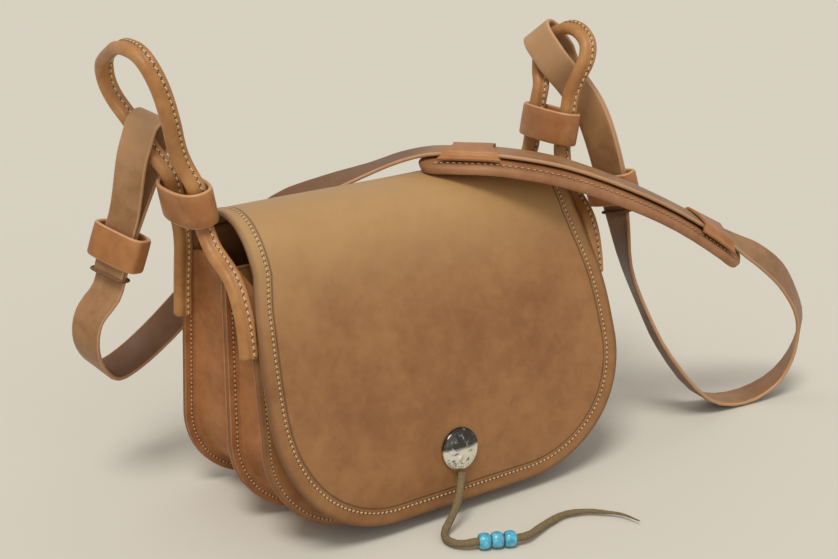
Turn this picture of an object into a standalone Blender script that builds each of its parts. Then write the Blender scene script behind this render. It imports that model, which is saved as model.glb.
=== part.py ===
"""A leather hunting bag: two bellows pockets under a saddle flap, with a shoulder strap in two loops.

The origin is the middle of the divider's bottom edge, on the surface that the bag stands on.
+X is the bag's right as it is seen from the front, +Y its back and +Z up.
"""
from math import cos, pi, radians, sin, sqrt

import bmesh
import bpy
import numpy as np
from mathutils import Matrix, Vector

MM = 0.001
GAP = 0.3 * MM
ROUND_SHADING = radians(40)

# The body: three leaves joined by two U-shaped bellows.
HALF_WIDTH = 142 * MM
CORNER_RADIUS = 64 * MM
BACK_HEIGHT = 198 * MM
DIVIDER_HEIGHT = 186 * MM
GUSSET_HEIGHT = 184 * MM
FRONT_HEIGHT = 157 * MM
TOP_CORNER = 10 * MM
PANEL_LEATHER = 3.0 * MM
DIVIDER_LEATHER = 2.5 * MM
GUSSET_LEATHER = 2.0 * MM
BACK_BASE_Y = 71 * MM
BACK_TOP_Y = 54 * MM
FRONT_BASE_Y = -55 * MM
FRONT_TOP_Y = -35.7 * MM
FRONT_BULGE = 14 * MM
BULGE_SHARES = (0.2, 0.45, 0.7, 0.9, 1.0)
SEAM_WIDTH = 9 * MM
FOLD_DEPTH = 9 * MM

# The flap: one leather cover that bends where it turns down over the front.
FLAP_LEATHER = 3.0 * MM
FLAP_PROFILE = [(64.0, 171), (62.3, 187), (57.5, 201), (48, 210), (35, 215), (18, 218), (1, 215), (-13, 206.5),
                (-23, 195), (-30, 182), (-36, 168), (-45, 150), (-53, 130), (-59.5, 110), (-66, 90),
                (-71, 70), (-74.5, 50), (-76, 35), (-76.5, 20), (-76.5, 3)]
FLAP_BEND_HEIGHT = 187 * MM
FLAP_BACK_HALF_WIDTH = 128 * MM
FLAP_BEND_HALF_WIDTH = 136 * MM
FLAP_HALF_WIDTH = 147 * MM
FLAP_CORNER_RADIUS = 90 * MM
FLAP_BOTTOM = 10 * MM
# How early the flap narrows on its way up to the bend.
FLAP_SIDE_SWEEP = 0.55
FACING_WIDTH = 20 * MM
FACING_LEATHER = 2.0 * MM

# The closure: a domed stud cap on the flap, its socket behind it and the stud on the front panel.
CONCHO_X = -5 * MM
CONCHO_HEIGHT = 50 * MM
CONCHO_RADIUS = 15 * MM
CONCHO_DOME = 4.5 * MM
CONCHO_RIM = 1.2 * MM
POST_RADIUS = 3 * MM
SOCKET_RADIUS = 7 * MM
SOCKET_THICKNESS = 4 * MM
STUD_RADIUS = 5 * MM
STUD_BACK_THICKNESS = 1.5 * MM

# The two rolled loops at the sides, which straddle the front and back seams.
LOOP_RADIUS = 6.2 * MM
LOOP_LEG_SPACING = 35 * MM
KEEPER_LEATHER = 2.8 * MM
KEEPER_HEIGHT = 24 * MM
LOOP_KEEPER_INNER_DEPTH = 21 * MM
LOOP_KEEPER_PLAY = 0.4 * MM
STRAP_KEEPER_INNER_WIDTH = 36 * MM
STRAP_KEEPER_INNER_DEPTH = 14 * MM
STRAP_KEEPER_SAG = 2.2 * MM

# The shoulder strap, its pad and the lacing at its ends.
STRAP_WIDTH = 25 * MM
STRAP_LEATHER = 3.0 * MM
STRAP_END = 10 * MM
LACE_RADIUS = 1.1 * MM
LACE_DROP = 3 * MM
PAD_HALF_WIDTH = 22 * MM
PAD_SAG = 4 * MM
PAD_HALF_THICKNESS = 4.2 * MM
PAD_STANDOFF = 0.6 * MM
PAD_LOOP_LENGTH = 32 * MM
PAD_LOOP_FOOT = 5 * MM
PAD_LOOP_LEATHER = 1.8 * MM

# The thong that pulls the flap open, with three beads threaded on it.
THONG_RADIUS = 2.6 * MM
BEAD_RADIUS = 5.6 * MM
BEAD_LENGTH = 8.2 * MM
BEAD_COUNT = 3

TAN = (0.58, 0.38, 0.21)
DARK_TAN = (0.47, 0.26, 0.13)
LIGHT_TAN = (0.70, 0.52, 0.34)


def clear_scene():
    for obj in list(bpy.data.objects):
        bpy.data.objects.remove(obj, do_unlink=True)


def make_material(name, colour, roughness, metallic=0.0):
    material = bpy.data.materials.new(name)
    material.use_nodes = True
    shader = material.node_tree.nodes["Principled BSDF"]
    shader.inputs["Base Color"].default_value = (*colour, 1)
    shader.inputs["Roughness"].default_value = roughness
    shader.inputs["Metallic"].default_value = metallic
    material.diffuse_color = (*colour, 1)
    return material


def smooth_path(points, steps):
    """Points along a Catmull-Rom curve through the given ones, of any number of dimensions."""
    given = np.array(points, float)
    padded = np.vstack([2 * given[0] - given[1], given, 2 * given[-1] - given[-2]])
    curve = []
    for a, b, c, d in zip(padded, padded[1:], padded[2:], padded[3:]):
        for t in np.arange(steps) / steps:
            curve.append(0.5 * (2 * b + (c - a) * t + (2 * a - 5 * b + 4 * c - d) * t ** 2
                                + (3 * b - a - 3 * c + d) * t ** 3))
    curve.append(given[-1])
    return np.array(curve)


def arc_lengths(points):
    steps = np.linalg.norm(np.diff(points, axis=0), axis=1)
    return np.concatenate([[0.0], np.cumsum(steps)])


def unit(vector):
    return np.array(vector, float) / np.linalg.norm(vector)


def tangents(points):
    return np.array([unit(v) for v in np.gradient(points, axis=0)])


def finish(name, bm, material):
    """Turn a closed bmesh into an object whose faces point out."""
    bmesh.ops.recalc_face_normals(bm, faces=bm.faces)
    if bm.calc_volume(signed=True) < 0:
        bmesh.ops.reverse_faces(bm, faces=bm.faces)
    mesh = bpy.data.meshes.new(name)
    bm.to_mesh(mesh)
    bm.free()
    mesh.shade_smooth()
    mesh.set_sharp_from_angle(angle=ROUND_SHADING)
    obj = bpy.data.objects.new(name, mesh)
    obj.data.materials.append(material)
    bpy.context.collection.objects.link(obj)
    return obj


def loft(name, rings, material, closed=False):
    """Skin rings of equally many points; the ends are closed by strips between opposite points."""
    bm = bmesh.new()
    loops = [[bm.verts.new(Vector(p)) for p in ring] for ring in rings]
    pairs = list(zip(loops, loops[1:])) + ([(loops[-1], loops[0])] if closed else [])
    for lower, upper in pairs:
        for i in range(len(lower)):
            j = (i + 1) % len(lower)
            bm.faces.new((lower[i], lower[j], upper[j], upper[i]))
    if not closed:
        for ring in (loops[0], loops[-1]):
            last = len(ring) - 1
            for i in range(len(ring) // 2 - 1):
                bm.faces.new((ring[i], ring[i + 1], ring[last - i - 1], ring[last - i]))
    return finish(name, bm, material)


def cutter(obj):
    obj.hide_render = True
    obj.display_type = "WIRE"
    return obj


def cut(obj, tool):
    modifier = obj.modifiers.new("cut", "BOOLEAN")
    modifier.operation = "DIFFERENCE"
    modifier.solver = "EXACT"
    modifier.object = tool


def place_on_axis(obj, origin):
    """Move an object's origin to a point without moving its mesh."""
    shift = Vector(origin)
    obj.data.transform(Matrix.Translation(-shift))
    obj.location = shift
    return obj


def back_y(z):
    """The back panel's middle plane, which leans in towards the top."""
    return BACK_BASE_Y + (BACK_TOP_Y - BACK_BASE_Y) * z / BACK_HEIGHT


def front_y(z):
    return FRONT_BASE_Y + (FRONT_TOP_Y - FRONT_BASE_Y) * z / FRONT_HEIGHT


def divider_y(z):
    return 0.0 * z


def side_path(top, steps=6):
    """The U of a leaf's edge from top left to top right, as (x, z, outward x, outward z)."""
    inner = HALF_WIDTH - CORNER_RADIUS
    levels = np.linspace(top, CORNER_RADIUS, 4)
    left = [(-HALF_WIDTH, z, -1.0, 0.0) for z in levels[:-1]]
    for angle in np.linspace(0, pi / 2, steps + 1):
        left.append((-inner - CORNER_RADIUS * cos(angle), CORNER_RADIUS - CORNER_RADIUS * sin(angle),
                     -cos(angle), -sin(angle)))
    right = [(-x, z, -nx, nz) for x, z, nx, nz in reversed(left)]
    return left + right


def leaf_outline(height):
    """A leaf's closed outline, symmetric about the middle, with rounded top corners."""
    sides = side_path(height - TOP_CORNER)
    outline = [(x, z) for x, z, _, _ in sides]
    for angle in (pi / 4, pi / 2):
        x = HALF_WIDTH - TOP_CORNER + TOP_CORNER * cos(angle)
        z = height - TOP_CORNER + TOP_CORNER * sin(angle)
        outline.insert(0, (-x, z))
        outline.append((x, z))
    return outline


def make_leaf(name, height, plane, leather, material, bulge=0.0):
    """A flat leaf of leather, or one whose field bulges to one side inside its flat seam margin."""
    outline = leaf_outline(height)
    middle = height / 2

    def ring(share, side):
        field = max(0.0, 1 - (share / BULGE_SHARES[-2]) ** 2)
        points = []
        for x, z in outline:
            level = middle + (z - middle) * share
            y = plane(level) + side * leather / 2 - bulge * field
            points.append((x * share, y, level))
        return points

    shares = BULGE_SHARES if bulge else (0.5, 1.0)
    rings = [ring(s, 1) for s in shares] + [ring(s, -1) for s in reversed(shares)]
    return loft(name, rings, material)


def make_gusset(name, top, rear, front, drop, material):
    """A folded strip between two leaves: a seam flange at each side and one inward fold.

    rear and front give the y of the leaf faces that it is sewn to, and drop is how much lower
    its top edge lies at the front leaf than at the rear one.
    """
    leather = GUSSET_LEATHER
    fold = -SEAM_WIDTH - FOLD_DEPTH
    soft = 1.5 * leather
    pairs = [((0, 0, leather), (0, 0, 0)),
             ((-SEAM_WIDTH + soft, 0, leather), (-SEAM_WIDTH, 0, 0)),
             ((-SEAM_WIDTH, 0, leather + soft), (-SEAM_WIDTH - leather, 0, leather)),
             ((fold + soft / 2, 0.5, soft), (fold - leather + soft / 2, 0.5, soft)),
             ((fold, 0.5, 0), (fold - leather, 0.5, 0)),
             ((fold + soft / 2, 0.5, -soft), (fold - leather + soft / 2, 0.5, -soft)),
             ((-SEAM_WIDTH, 1, -leather - soft), (-SEAM_WIDTH - leather, 1, -leather)),
             ((-SEAM_WIDTH + soft, 1, -leather), (-SEAM_WIDTH, 1, 0)),
             ((0, 1, -leather), (0, 1, 0))]
    section = [outer for outer, _ in pairs] + [inner for _, inner in reversed(pairs)]

    def place(x, z, nx, nz, inset, share, depth):
        level = z + nz * inset
        if level > top / 2:
            level -= drop * share * (level - top / 2) / (top / 2)
        y = rear(level) + (front(level) - rear(level)) * share - depth
        return (x + nx * inset, y, level)

    rings = [[place(*step, *point) for point in section] for step in side_path(top)]
    return loft(name, rings, material)


def seam_cutter(name, top, rear, front):
    """The room that a seam's stack of leather takes, from its outer edge inwards, with clearance."""
    inset = -2 * SEAM_WIDTH
    rings = []
    for x, z, nx, nz in side_path(top + GAP):
        corners = [(GAP, rear), (inset, rear), (inset, front), (GAP, front)]
        rings.append([(x + nx * u, plane(z + nz * u), z + nz * u) for u, plane in corners])
    return cutter(loft(name, rings, bpy.data.materials["seam_guide"]))


def flap_curve():
    """The flap's outer face from the back seam to the bottom edge, as (y, z), in fine steps.

    The profile was drawn for a back panel 198 mm tall, and its points rise with the panel's top.
    """
    rise = BACK_HEIGHT - 198 * MM
    shift = BACK_TOP_Y - 54 * MM
    points = []
    for y, z in FLAP_PROFILE:
        y, z = y * MM, z * MM
        points.append((y + shift * max(0.0, y) / (64 * MM), z + rise * min(1.0, z / (198 * MM))))
    return smooth_path(points, 6)


def inward_normals(curve):
    return np.array([(-dz, dy) for dy, dz in tangents(curve)])


def split_flap():
    """The profile's rows above the bend and below it, with the direction into the bag at each."""
    curve = flap_curve()
    normals = inward_normals(curve)
    crest = int(curve[:, 1].argmax())
    bend = next(i for i in range(crest, len(curve)) if curve[i, 1] < FLAP_BEND_HEIGHT)
    return curve, normals, bend


def flap_hinge():
    """The middle of the flap's bend, about which its hanging part turns."""
    curve, inward, bend = split_flap()
    y, z = curve[bend] + inward[bend] * FLAP_LEATHER / 2
    return (0.0, y, z)


def front_profile(z):
    """Where the hanging part of the flap is at a height: its outer face's y and inward direction."""
    curve, normals, bend = split_flap()
    rows, facing = curve[bend - 1:][::-1], normals[bend - 1:][::-1]
    y = np.interp(z, rows[:, 1], rows[:, 0])
    return y, (np.interp(z, rows[:, 1], facing[:, 0]), np.interp(z, rows[:, 1], facing[:, 1]))


def flap_half_width(z):
    """Half the hanging flap's width at a height above its rounded bottom corners."""
    centre = FLAP_BOTTOM + FLAP_CORNER_RADIUS
    rise = max(0.0, min(1.0, (z - centre) / (FLAP_BEND_HEIGHT - centre)))
    return FLAP_HALF_WIDTH + (FLAP_BEND_HALF_WIDTH - FLAP_HALF_WIDTH) * rise ** FLAP_SIDE_SWEEP


def flap_edge(corner_steps=9, side_steps=7):
    """The hanging flap's left edge from the bend to the bottom, as (x, z)."""
    centre_z = FLAP_BOTTOM + FLAP_CORNER_RADIUS
    centre_x = FLAP_HALF_WIDTH - FLAP_CORNER_RADIUS
    levels = np.linspace(FLAP_BEND_HEIGHT - GAP, centre_z, side_steps + 1)[:-1]
    edge = [(-flap_half_width(z), z) for z in levels]
    for angle in np.linspace(0, pi / 2, corner_steps + 1):
        edge.append((-centre_x - FLAP_CORNER_RADIUS * cos(angle), centre_z - FLAP_CORNER_RADIUS * sin(angle)))
    return edge


def sheet_ring(half_width, y, z, inward, leather, columns):
    """One row of a bent sheet: its outer face from left to right and its inner face back again."""
    xs = np.linspace(-half_width, half_width, columns)
    outer = [(x, y, z) for x in xs]
    inner = [(x, y + inward[0] * leather, z + inward[1] * leather) for x in reversed(xs)]
    return outer + inner


def make_flap_top(material):
    curve, normals, bend = split_flap()
    rows = curve[:bend + 1]
    lengths = arc_lengths(rows)
    picked = sorted({int(round(i)) for i in np.linspace(0, bend - 1, 20)})
    rings = []
    for i in picked:
        share = lengths[i] / lengths[-1]
        half_width = FLAP_BACK_HALF_WIDTH + (FLAP_BEND_HALF_WIDTH - FLAP_BACK_HALF_WIDTH) * share
        rings.append(sheet_ring(half_width, *rows[i], normals[i], FLAP_LEATHER, 6))
    y, inward = front_profile(FLAP_BEND_HEIGHT + GAP / 2)
    rings.append(sheet_ring(FLAP_BEND_HALF_WIDTH, y, FLAP_BEND_HEIGHT + GAP / 2, inward, FLAP_LEATHER, 6))
    return loft("flap_top", rings, material)


def make_flap_front(material, columns=8):
    rings = []
    for x, z in flap_edge():
        y, inward = front_profile(z)
        rings.append(sheet_ring(-x, y, z, inward, FLAP_LEATHER, columns))
    return loft("flap_front", rings, material)


def make_flap_facing(material):
    """The band sewn under the hanging flap's edge."""
    left = [(x, z) for x, z in flap_edge() if z < FRONT_HEIGHT - 4 * MM]
    edge = left + [(-x, z) for x, z in reversed(left)]
    path = np.array(edge)
    directions = tangents(path)
    rings = []
    for (x, z), (dx, dz) in zip(path, directions):
        ring = []
        for inset, depth in ((GAP, 0), (FACING_WIDTH, 0), (FACING_WIDTH, 1), (GAP, 1)):
            px, pz = x - dz * inset, z + dx * inset
            y, inward = front_profile(pz)
            off = FLAP_LEATHER + GAP + depth * FACING_LEATHER
            ring.append((px, y + inward[0] * off, pz + inward[1] * off))
        rings.append(ring)
    return loft("flap_facing", rings, material)


def turned(name, centre, axis, profile, material, sides=16):
    """A round piece: profile is (radius, distance along the axis from the centre), pole to pole."""
    axis = unit(axis)
    side = unit(np.cross((1.0, 0.0, 0.0), axis) if abs(axis[0]) < 0.9 else np.cross((0.0, 1.0, 0.0), axis))
    other = np.cross(axis, side)
    centre = np.array(centre)
    rings = []
    for radius, along in profile:
        rings.append([tuple(centre + axis * along + radius * (cos(a) * side + sin(a) * other))
                      for a in (2 * pi * i / sides for i in range(sides))])
    return loft(name, rings, material)


def panel_face_y():
    """The front panel's outer face at the closure, after its bulge."""
    middle = FRONT_HEIGHT / 2
    share = abs(CONCHO_HEIGHT - middle) / middle
    fields = [max(0.0, 1 - (s / BULGE_SHARES[-2]) ** 2) for s in BULGE_SHARES]
    field = np.interp(share, BULGE_SHARES, fields)
    return front_y(CONCHO_HEIGHT) - PANEL_LEATHER / 2 - FRONT_BULGE * field


def make_closure(metal, flap, panel):
    """The concho on its post, the socket behind the flap, and the stud on the front panel."""
    outer, inward = front_profile(CONCHO_HEIGHT)
    axis = (0.0, *inward)
    tip = POST_RADIUS / 3
    dome = [(tip, -CONCHO_RIM - CONCHO_DOME)]
    for share in (0.35, 0.65, 0.88):
        dome.append((CONCHO_RADIUS * share, -CONCHO_RIM - CONCHO_DOME * sqrt(1 - share ** 2)))
    dome.append((CONCHO_RADIUS, -CONCHO_RIM))
    back = FLAP_LEATHER + GAP
    shank = [(CONCHO_RADIUS, -GAP), (POST_RADIUS, -GAP), (POST_RADIUS, back), (tip, back)]
    centre = (CONCHO_X, outer, CONCHO_HEIGHT)
    turned("concho", centre, axis, dome + shank, metal, 24)
    bore = POST_RADIUS + GAP
    hole = [(radius, depth * FLAP_LEATHER) for radius, depth in ((tip, -2), (bore, -2), (bore, 3), (tip, 3))]
    cut(flap, cutter(turned("post_hole_guide", centre, axis, hole, metal)))
    start = back + GAP
    end = start + SOCKET_THICKNESS
    socket = [(tip, start), (SOCKET_RADIUS, start), (SOCKET_RADIUS, start + SOCKET_THICKNESS * 0.6),
              (SOCKET_RADIUS * 0.8, end), (tip, end)]
    turned("snap_socket", centre, axis, socket, metal)
    face = panel_face_y()
    reach = face - (outer + end) - 4 * GAP
    neck, shaft = STUD_RADIUS * 0.7, POST_RADIUS / 2
    back = PANEL_LEATHER + GAP
    stud = [(tip, -reach), (STUD_RADIUS * 0.75, -reach), (STUD_RADIUS, -reach * 0.7), (neck, -reach * 0.4),
            (neck, -GAP), (shaft, -GAP), (shaft, back), (STUD_RADIUS, back),
            (STUD_RADIUS, back + STUD_BACK_THICKNESS), (tip, back + STUD_BACK_THICKNESS)]
    place = (CONCHO_X, face, CONCHO_HEIGHT)
    straight = (0.0, 1.0, 0.0)
    turned("snap_stud", place, straight, stud, metal)
    bore = shaft + GAP
    hole = [(radius, depth * PANEL_LEATHER) for radius, depth in ((tip, -2), (bore, -2), (bore, 3), (tip, 3))]
    cut(panel, cutter(turned("stud_hole_guide", place, straight, hole, metal)))


def at(side, across, y, height):
    """A point given from the body's side edge (or its middle) and from the back panel's top."""
    return (side * (HALF_WIDTH + across * MM) if side else across * MM, y * MM, BACK_HEIGHT + height * MM)


def low(side, across, y, z):
    """A point given from the body's side edge and from the surface that the bag stands on."""
    return (side * (HALF_WIDTH + across * MM), y * MM, z * MM)


# Each loop's eye, from its front leg round to its back leg, and where its keeper holds the legs.
LEFT_LOOP = {"keeper_y": 28.5, "keeper_low": 16,
             "rise": [(4.5, -22, -12), (5, 0, 1), (5.5, 8, 10)],
             "eye": [(16, 15, 56), (21, 14, 69), (27, 9, 89), (33, 7, 108), (38, 10, 122), (40.5, 19, 130),
                     (41, 33, 132), (40, 48, 130.5), (38.5, 60, 126), (35, 83, 114), (31, 90.5, 100), (27, 88, 88),
                     (23, 78, 77), (20, 67, 67), (17, 57, 57)]}
RIGHT_LOOP = {"keeper_y": 23.5, "keeper_low": 25,
              "rise": [(4.5, -23, -19), (5, -8, -6), (5.5, 2, 8), (5.8, 5, 17)],
              "eye": [(14, 6.5, 64), (18, 3.5, 77), (23, 1.5, 89), (27, 6, 100), (29, 20, 107), (28.5, 35, 106),
                      (25.5, 45.5, 99), (22, 52, 89), (20.5, 51, 80), (18, 48, 72), (15, 43, 63)]}


def loop_route(side, loop):
    """A loop's centre line: up from the front seam, through the keeper, round and down to the back seam."""
    half = LOOP_LEG_SPACING / 2 / MM
    middle, foot = loop["keeper_y"], loop["keeper_low"]
    front = [(3.5, -37.8, -60), (3.5, -36.0, -47), (3.5, -31.5, -31)] + loop["rise"]
    legs = [(6, foot), (8, foot + 13), (11, foot + 27)]
    up = [(x, middle - half, z) for x, z in legs]
    down = [(x, middle + half, z) for x, z in reversed(legs)]
    back = [(4, middle + half + 0.5, foot - 11), (2, 49.5, -8), (1, 53, -21),
            (0.6, 55.7, -36), (0.6, 57.2, -52), (0.6, 58.0, -60)]
    return [at(side, *p) for p in front + up + loop["eye"] + down + back]


def tube_rings(path, radius, sides=8):
    """Rings round a path, carried along it without twisting."""
    directions = tangents(path)
    across = unit(np.cross(directions[0], (0.0, 1.0, 0.2)))
    rings = []
    for point, direction in zip(path, directions):
        across = unit(across - direction * (across @ direction))
        up = np.cross(direction, across)
        rings.append([tuple(point + radius * (cos(a) * across + sin(a) * up))
                      for a in (2 * pi * (i + 0.5) / sides for i in range(sides))])
    return rings


def make_loop(name, side, loop, seams, material):
    path = smooth_path(loop_route(side, loop), 2)
    obj = loft(name, tube_rings(path, LOOP_RADIUS), material)
    for seam in seams:
        cut(obj, seam)
    return obj


def make_band(name, centre, axis, long_way, inner, roundness, material, sides=24):
    """A leather keeper bent to a rounded oval; inner is its (long, short) inside size."""
    axis = unit(axis)
    long_way = unit(np.array(long_way) - axis * (np.array(long_way) @ axis))
    short_way = np.cross(axis, long_way)
    centre = np.array(centre)
    rings = []
    for angle in (2 * pi * i / sides for i in range(sides)):
        c, s = cos(angle), sin(angle)
        a, b = abs(c) ** roundness * (1 if c > 0 else -1), abs(s) ** roundness * (1 if s > 0 else -1)
        ring = []
        for grow, rise in ((0, -1), (KEEPER_LEATHER, -1), (KEEPER_LEATHER, 1), (0, 1)):
            spot = (inner[0] / 2 + grow) * a * long_way + (inner[1] / 2 + grow) * b * short_way
            ring.append(tuple(centre + spot + axis * rise * KEEPER_HEIGHT / 2))
        rings.append(ring)
    return place_on_axis(loft(name, rings, material, closed=True), centre)


def make_loop_keeper(name, side, loop, material):
    foot, middle = loop["keeper_low"], loop["keeper_y"]
    centre = np.array(at(side, 8, middle, foot + 13))
    axis = np.array(at(side, 11, middle, foot + 27)) - np.array(at(side, 6, middle, foot))
    inner = (LOOP_LEG_SPACING + 2 * (LOOP_RADIUS + LOOP_KEEPER_PLAY), LOOP_KEEPER_INNER_DEPTH)
    return make_band(name, centre, axis, (0, 1, 0), inner, 0.8, material)


# Where the strap hangs in each loop: a point on the loop's back limb, the way down the strap, the
# way across it and the way that its visible face looks.
LEFT_HANG = {"on": (-1, 18, 65, 62), "bend": 9.5 * MM, "down": (-0.269, 0.134, -0.954),
             "across": (0.395, -0.888, -0.236),
             "face": (-0.879, -0.440, 0.186)}
RIGHT_HANG = {"on": (1, 23, 49.5, 94), "bend": 11 * MM, "down": (0.28, -0.49, -0.83),
              "across": (0.42, -0.71, 0.56),
              "face": (-0.863, -0.506, 0.007)}
LEFT_KEEPER_DROP = 87 * MM
RIGHT_KEEPER_DROP = 128 * MM


def hang_point(hang, face, across, down):
    spot = np.array(at(*hang["on"]))
    for key, amount in (("face", face), ("across", across), ("down", down)):
        spot = spot + unit(hang[key]) * amount * MM
    return spot


def strap_controls():
    """The long layer of the strap from the left fold to the right fold, as (point, across)."""
    left, right = LEFT_HANG, RIGHT_HANG
    rows = [(hang_point(left, face, 0, down), left["across"])
            for face, down in ((-9.5, -9), (-9.4, 4), (-7.5, 24), (-4, 48), (-1.8, 68), (-1.8, 88), (-1.8, 108))]
    rows += [(at(-1, 57, 84, -57), (0.36, -0.9, -0.25)),
             (at(-1, 60, 87, -75), (0.35, -0.9, -0.25)), (at(-1, 53, 95, -94), (0.33, -0.9, -0.3)),
             (at(-1, 37, 107, -110), (0.3, -0.88, -0.35)), (at(-1, 16, 115, -108), (0.3, -0.86, -0.4)),
             (at(-1, -5, 115, -95), (0.3, -0.85, -0.45)), (at(-1, -25, 109, -75), (0.3, -0.85, -0.45)),
             (at(0, -89, 96, -40), (0.15, -0.9, -0.4)), (at(0, -50, 85, -7), (-0.05, -0.93, -0.33)),
             (at(0, -18, 74, 6), (-0.25, -0.93, -0.2)), (at(0, 14, 59, 17.5), (-0.5, -0.86, 0)),
             (at(0, 29, 45, 26), (-0.55, -0.83, 0.03)), (at(0, 44, 29, 32), (-0.6, -0.8, 0.05)),
             (at(0, 60, 9, 34), (-0.6, -0.8, 0.05)), (at(0, 82, -9, 33), (-0.5, -0.86, 0.02)),
             (at(0, 117, -29, 25), (-0.35, -0.93, -0.05)), (at(1, 20, -43, 6), (-0.25, -0.96, -0.1)),
             (at(1, 66, -51, -18), (-0.2, -0.97, -0.15)), (at(1, 112, -57, -46), (-0.27, -0.92, -0.27)),
             (at(1, 134, -60, -60), (-0.36, -0.8, -0.45)), (at(1, 152, -62, -71), (-0.5, -0.65, -0.55)),
             (at(1, 175, -64, -90), (-0.65, -0.55, -0.5)), (low(1, 193, -65, 83), (-0.75, -0.6, -0.2)),
             (low(1, 203, -63, 59), (-0.8, -0.6, 0)), (low(1, 200, -59, 32), (-0.65, -0.76, 0.12)),
             (low(1, 185, -53, 11), (-0.4, -0.9, 0.1)), (low(1, 152, -47, 2.2), (-0.15, -0.98, 0)),
             (low(1, 113, -45, 15), (-0.15, -0.98, 0)), (low(1, 76, -41, 58), (-0.3, -0.95, 0)),
             (low(1, 59, -33, 94), (-0.4, -0.91, 0)), (at(1, 53, -19, -72), (-0.38, -0.92, 0)),
             (at(1, 53, -8, -40), (-0.05, -0.99, 0.1)), (at(1, 51, -1, -13), (0.3, -0.93, 0.15)),
             (at(1, 42.5, 5, 24), (0.4, -0.84, 0.3)), (at(1, 37, 13, 47), (0.41, -0.77, 0.45))]
    rows += [(hang_point(right, *spot), right["across"])
             for spot in ((8, 5, 40), (12, 4.5, 28), (13.6, 3.5, 18), (13.2, 2.5, 8), (12, 1.5, -1))]
    return rows


def strap_frames(points, across):
    """Square the width directions to the path; returns (along, across, normal) at each point."""
    along = tangents(points)
    across = np.array([unit(w - t * (w @ t)) for w, t in zip(across, along)])
    return along, across, np.cross(along, across)


def fold_back(points, across, normal, side, bend, length, straight, spread):
    """The rest of a strap that turns round a loop and comes back beside itself, on one side."""
    end, along = points[-1], unit(points[-1] - points[-2])
    out = normal[-1] * side
    turn = [end + out * bend * (1 - cos(a)) + along * bend * sin(a) for a in np.linspace(0, pi, 9)[1:]]
    lengths = arc_lengths(points)
    back = lengths[-1] - lengths
    touching = STRAP_LEATHER + 2 * GAP
    rest, widths = [], []
    for i in range(len(points) - 2, -1, -1):
        if back[i] > length:
            break
        share = min(1.0, max(0.0, (back[i] - straight) / (spread - straight)))
        offset = 2 * bend + (touching - 2 * bend) * share ** 2 * (3 - 2 * share)
        rest.append(points[i] + normal[i] * side * offset)
        widths.append(across[i])
    return np.array(turn + rest), np.array([across[-1]] * len(turn) + widths)


def strap_course():
    """The strap's whole centre line and its width directions, from its left end to its right end."""
    rows = strap_controls()
    fine = smooth_path([(*point, *unit(width)) for point, width in rows], 3)
    points, across = fine[:, :3], fine[:, 3:]
    along, across, normal = strap_frames(points, across)
    facing = normal[0] @ unit(LEFT_HANG["face"])
    left, left_across = fold_back(points[::-1], across[::-1], normal[::-1], 1 if facing > 0 else -1,
                                  LEFT_HANG["bend"], LEFT_KEEPER_DROP + KEEPER_HEIGHT / 2 + STRAP_END, 14 * MM, 72 * MM)
    facing = normal[-1] @ unit(RIGHT_HANG["face"])
    right, right_across = fold_back(points, across, normal, -1 if facing > 0 else 1,
                                    RIGHT_HANG["bend"], RIGHT_KEEPER_DROP + KEEPER_HEIGHT / 2 + STRAP_END, 12 * MM, 42 * MM)
    course = np.vstack([left[::-1], points, right])
    widths = np.vstack([left_across[::-1], across, right_across])
    return course, widths, len(left), len(left) + len(points)


def ribbon_rings(points, across, half_width, half_thickness, lift=0.0):
    """Flat sections across a path: bottom face first, then the top face back again."""
    along, across, normal = strap_frames(points, across)
    rings = []
    for p, w, n in zip(points, across, normal):
        p = p + n * lift
        side, up = w * half_width, n * half_thickness
        rings.append([tuple(p - side - up), tuple(p + side - up), tuple(p + side + up), tuple(p - side + up)])
    return rings


def make_strap(material):
    points, across, _, _ = strap_course()
    rings = ribbon_rings(points, across, STRAP_WIDTH / 2, STRAP_LEATHER / 2)
    return loft("shoulder_strap", rings, material)


def keeper_on_strap(end, beyond=0.0):
    """The middle of the strap's two layers at one end: its centre, the way up, across and out."""
    points, across, first, last = strap_course()
    along, across, normal = strap_frames(points, across)
    lengths = arc_lengths(points)
    if end == "left":
        start, drop, step = first, LEFT_KEEPER_DROP + beyond, 1
    else:
        start, drop, step = last - 1, RIGHT_KEEPER_DROP + beyond, -1
    goal = abs(lengths - lengths[start] - step * drop).argmin()
    others = range(0, first) if end == "left" else range(last, len(points))
    near = min(others, key=lambda i: np.linalg.norm(points[i] - points[goal]))
    offset = points[near] - points[goal]
    offset = normal[goal] * (offset @ normal[goal])
    return points[goal] + offset / 2, along[goal] * -step, across[goal], unit(offset)


def make_strap_keeper(name, end, material):
    centre, axis, across, out = keeper_on_strap(end)
    inner = (STRAP_KEEPER_INNER_WIDTH, STRAP_KEEPER_INNER_DEPTH)
    return make_band(name, centre - out * STRAP_KEEPER_SAG, axis, across, inner, 0.55, material)


def pad_frames():
    """The part of the strap that the pad lies under: points, widths and the way away from the bag."""
    points, across, first, last = strap_course()
    along, across, normal = strap_frames(points, across)
    start = abs(points - np.array(at(0, 38, 36, 29))).sum(axis=1).argmin()
    end = abs(points - np.array(at(1, 131, -60, -62))).sum(axis=1).argmin()
    span = slice(start, end + 1)
    sign = 1 if normal[(start + end) // 2][2] > 0 else -1
    return points[span], across[span], sign


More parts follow.
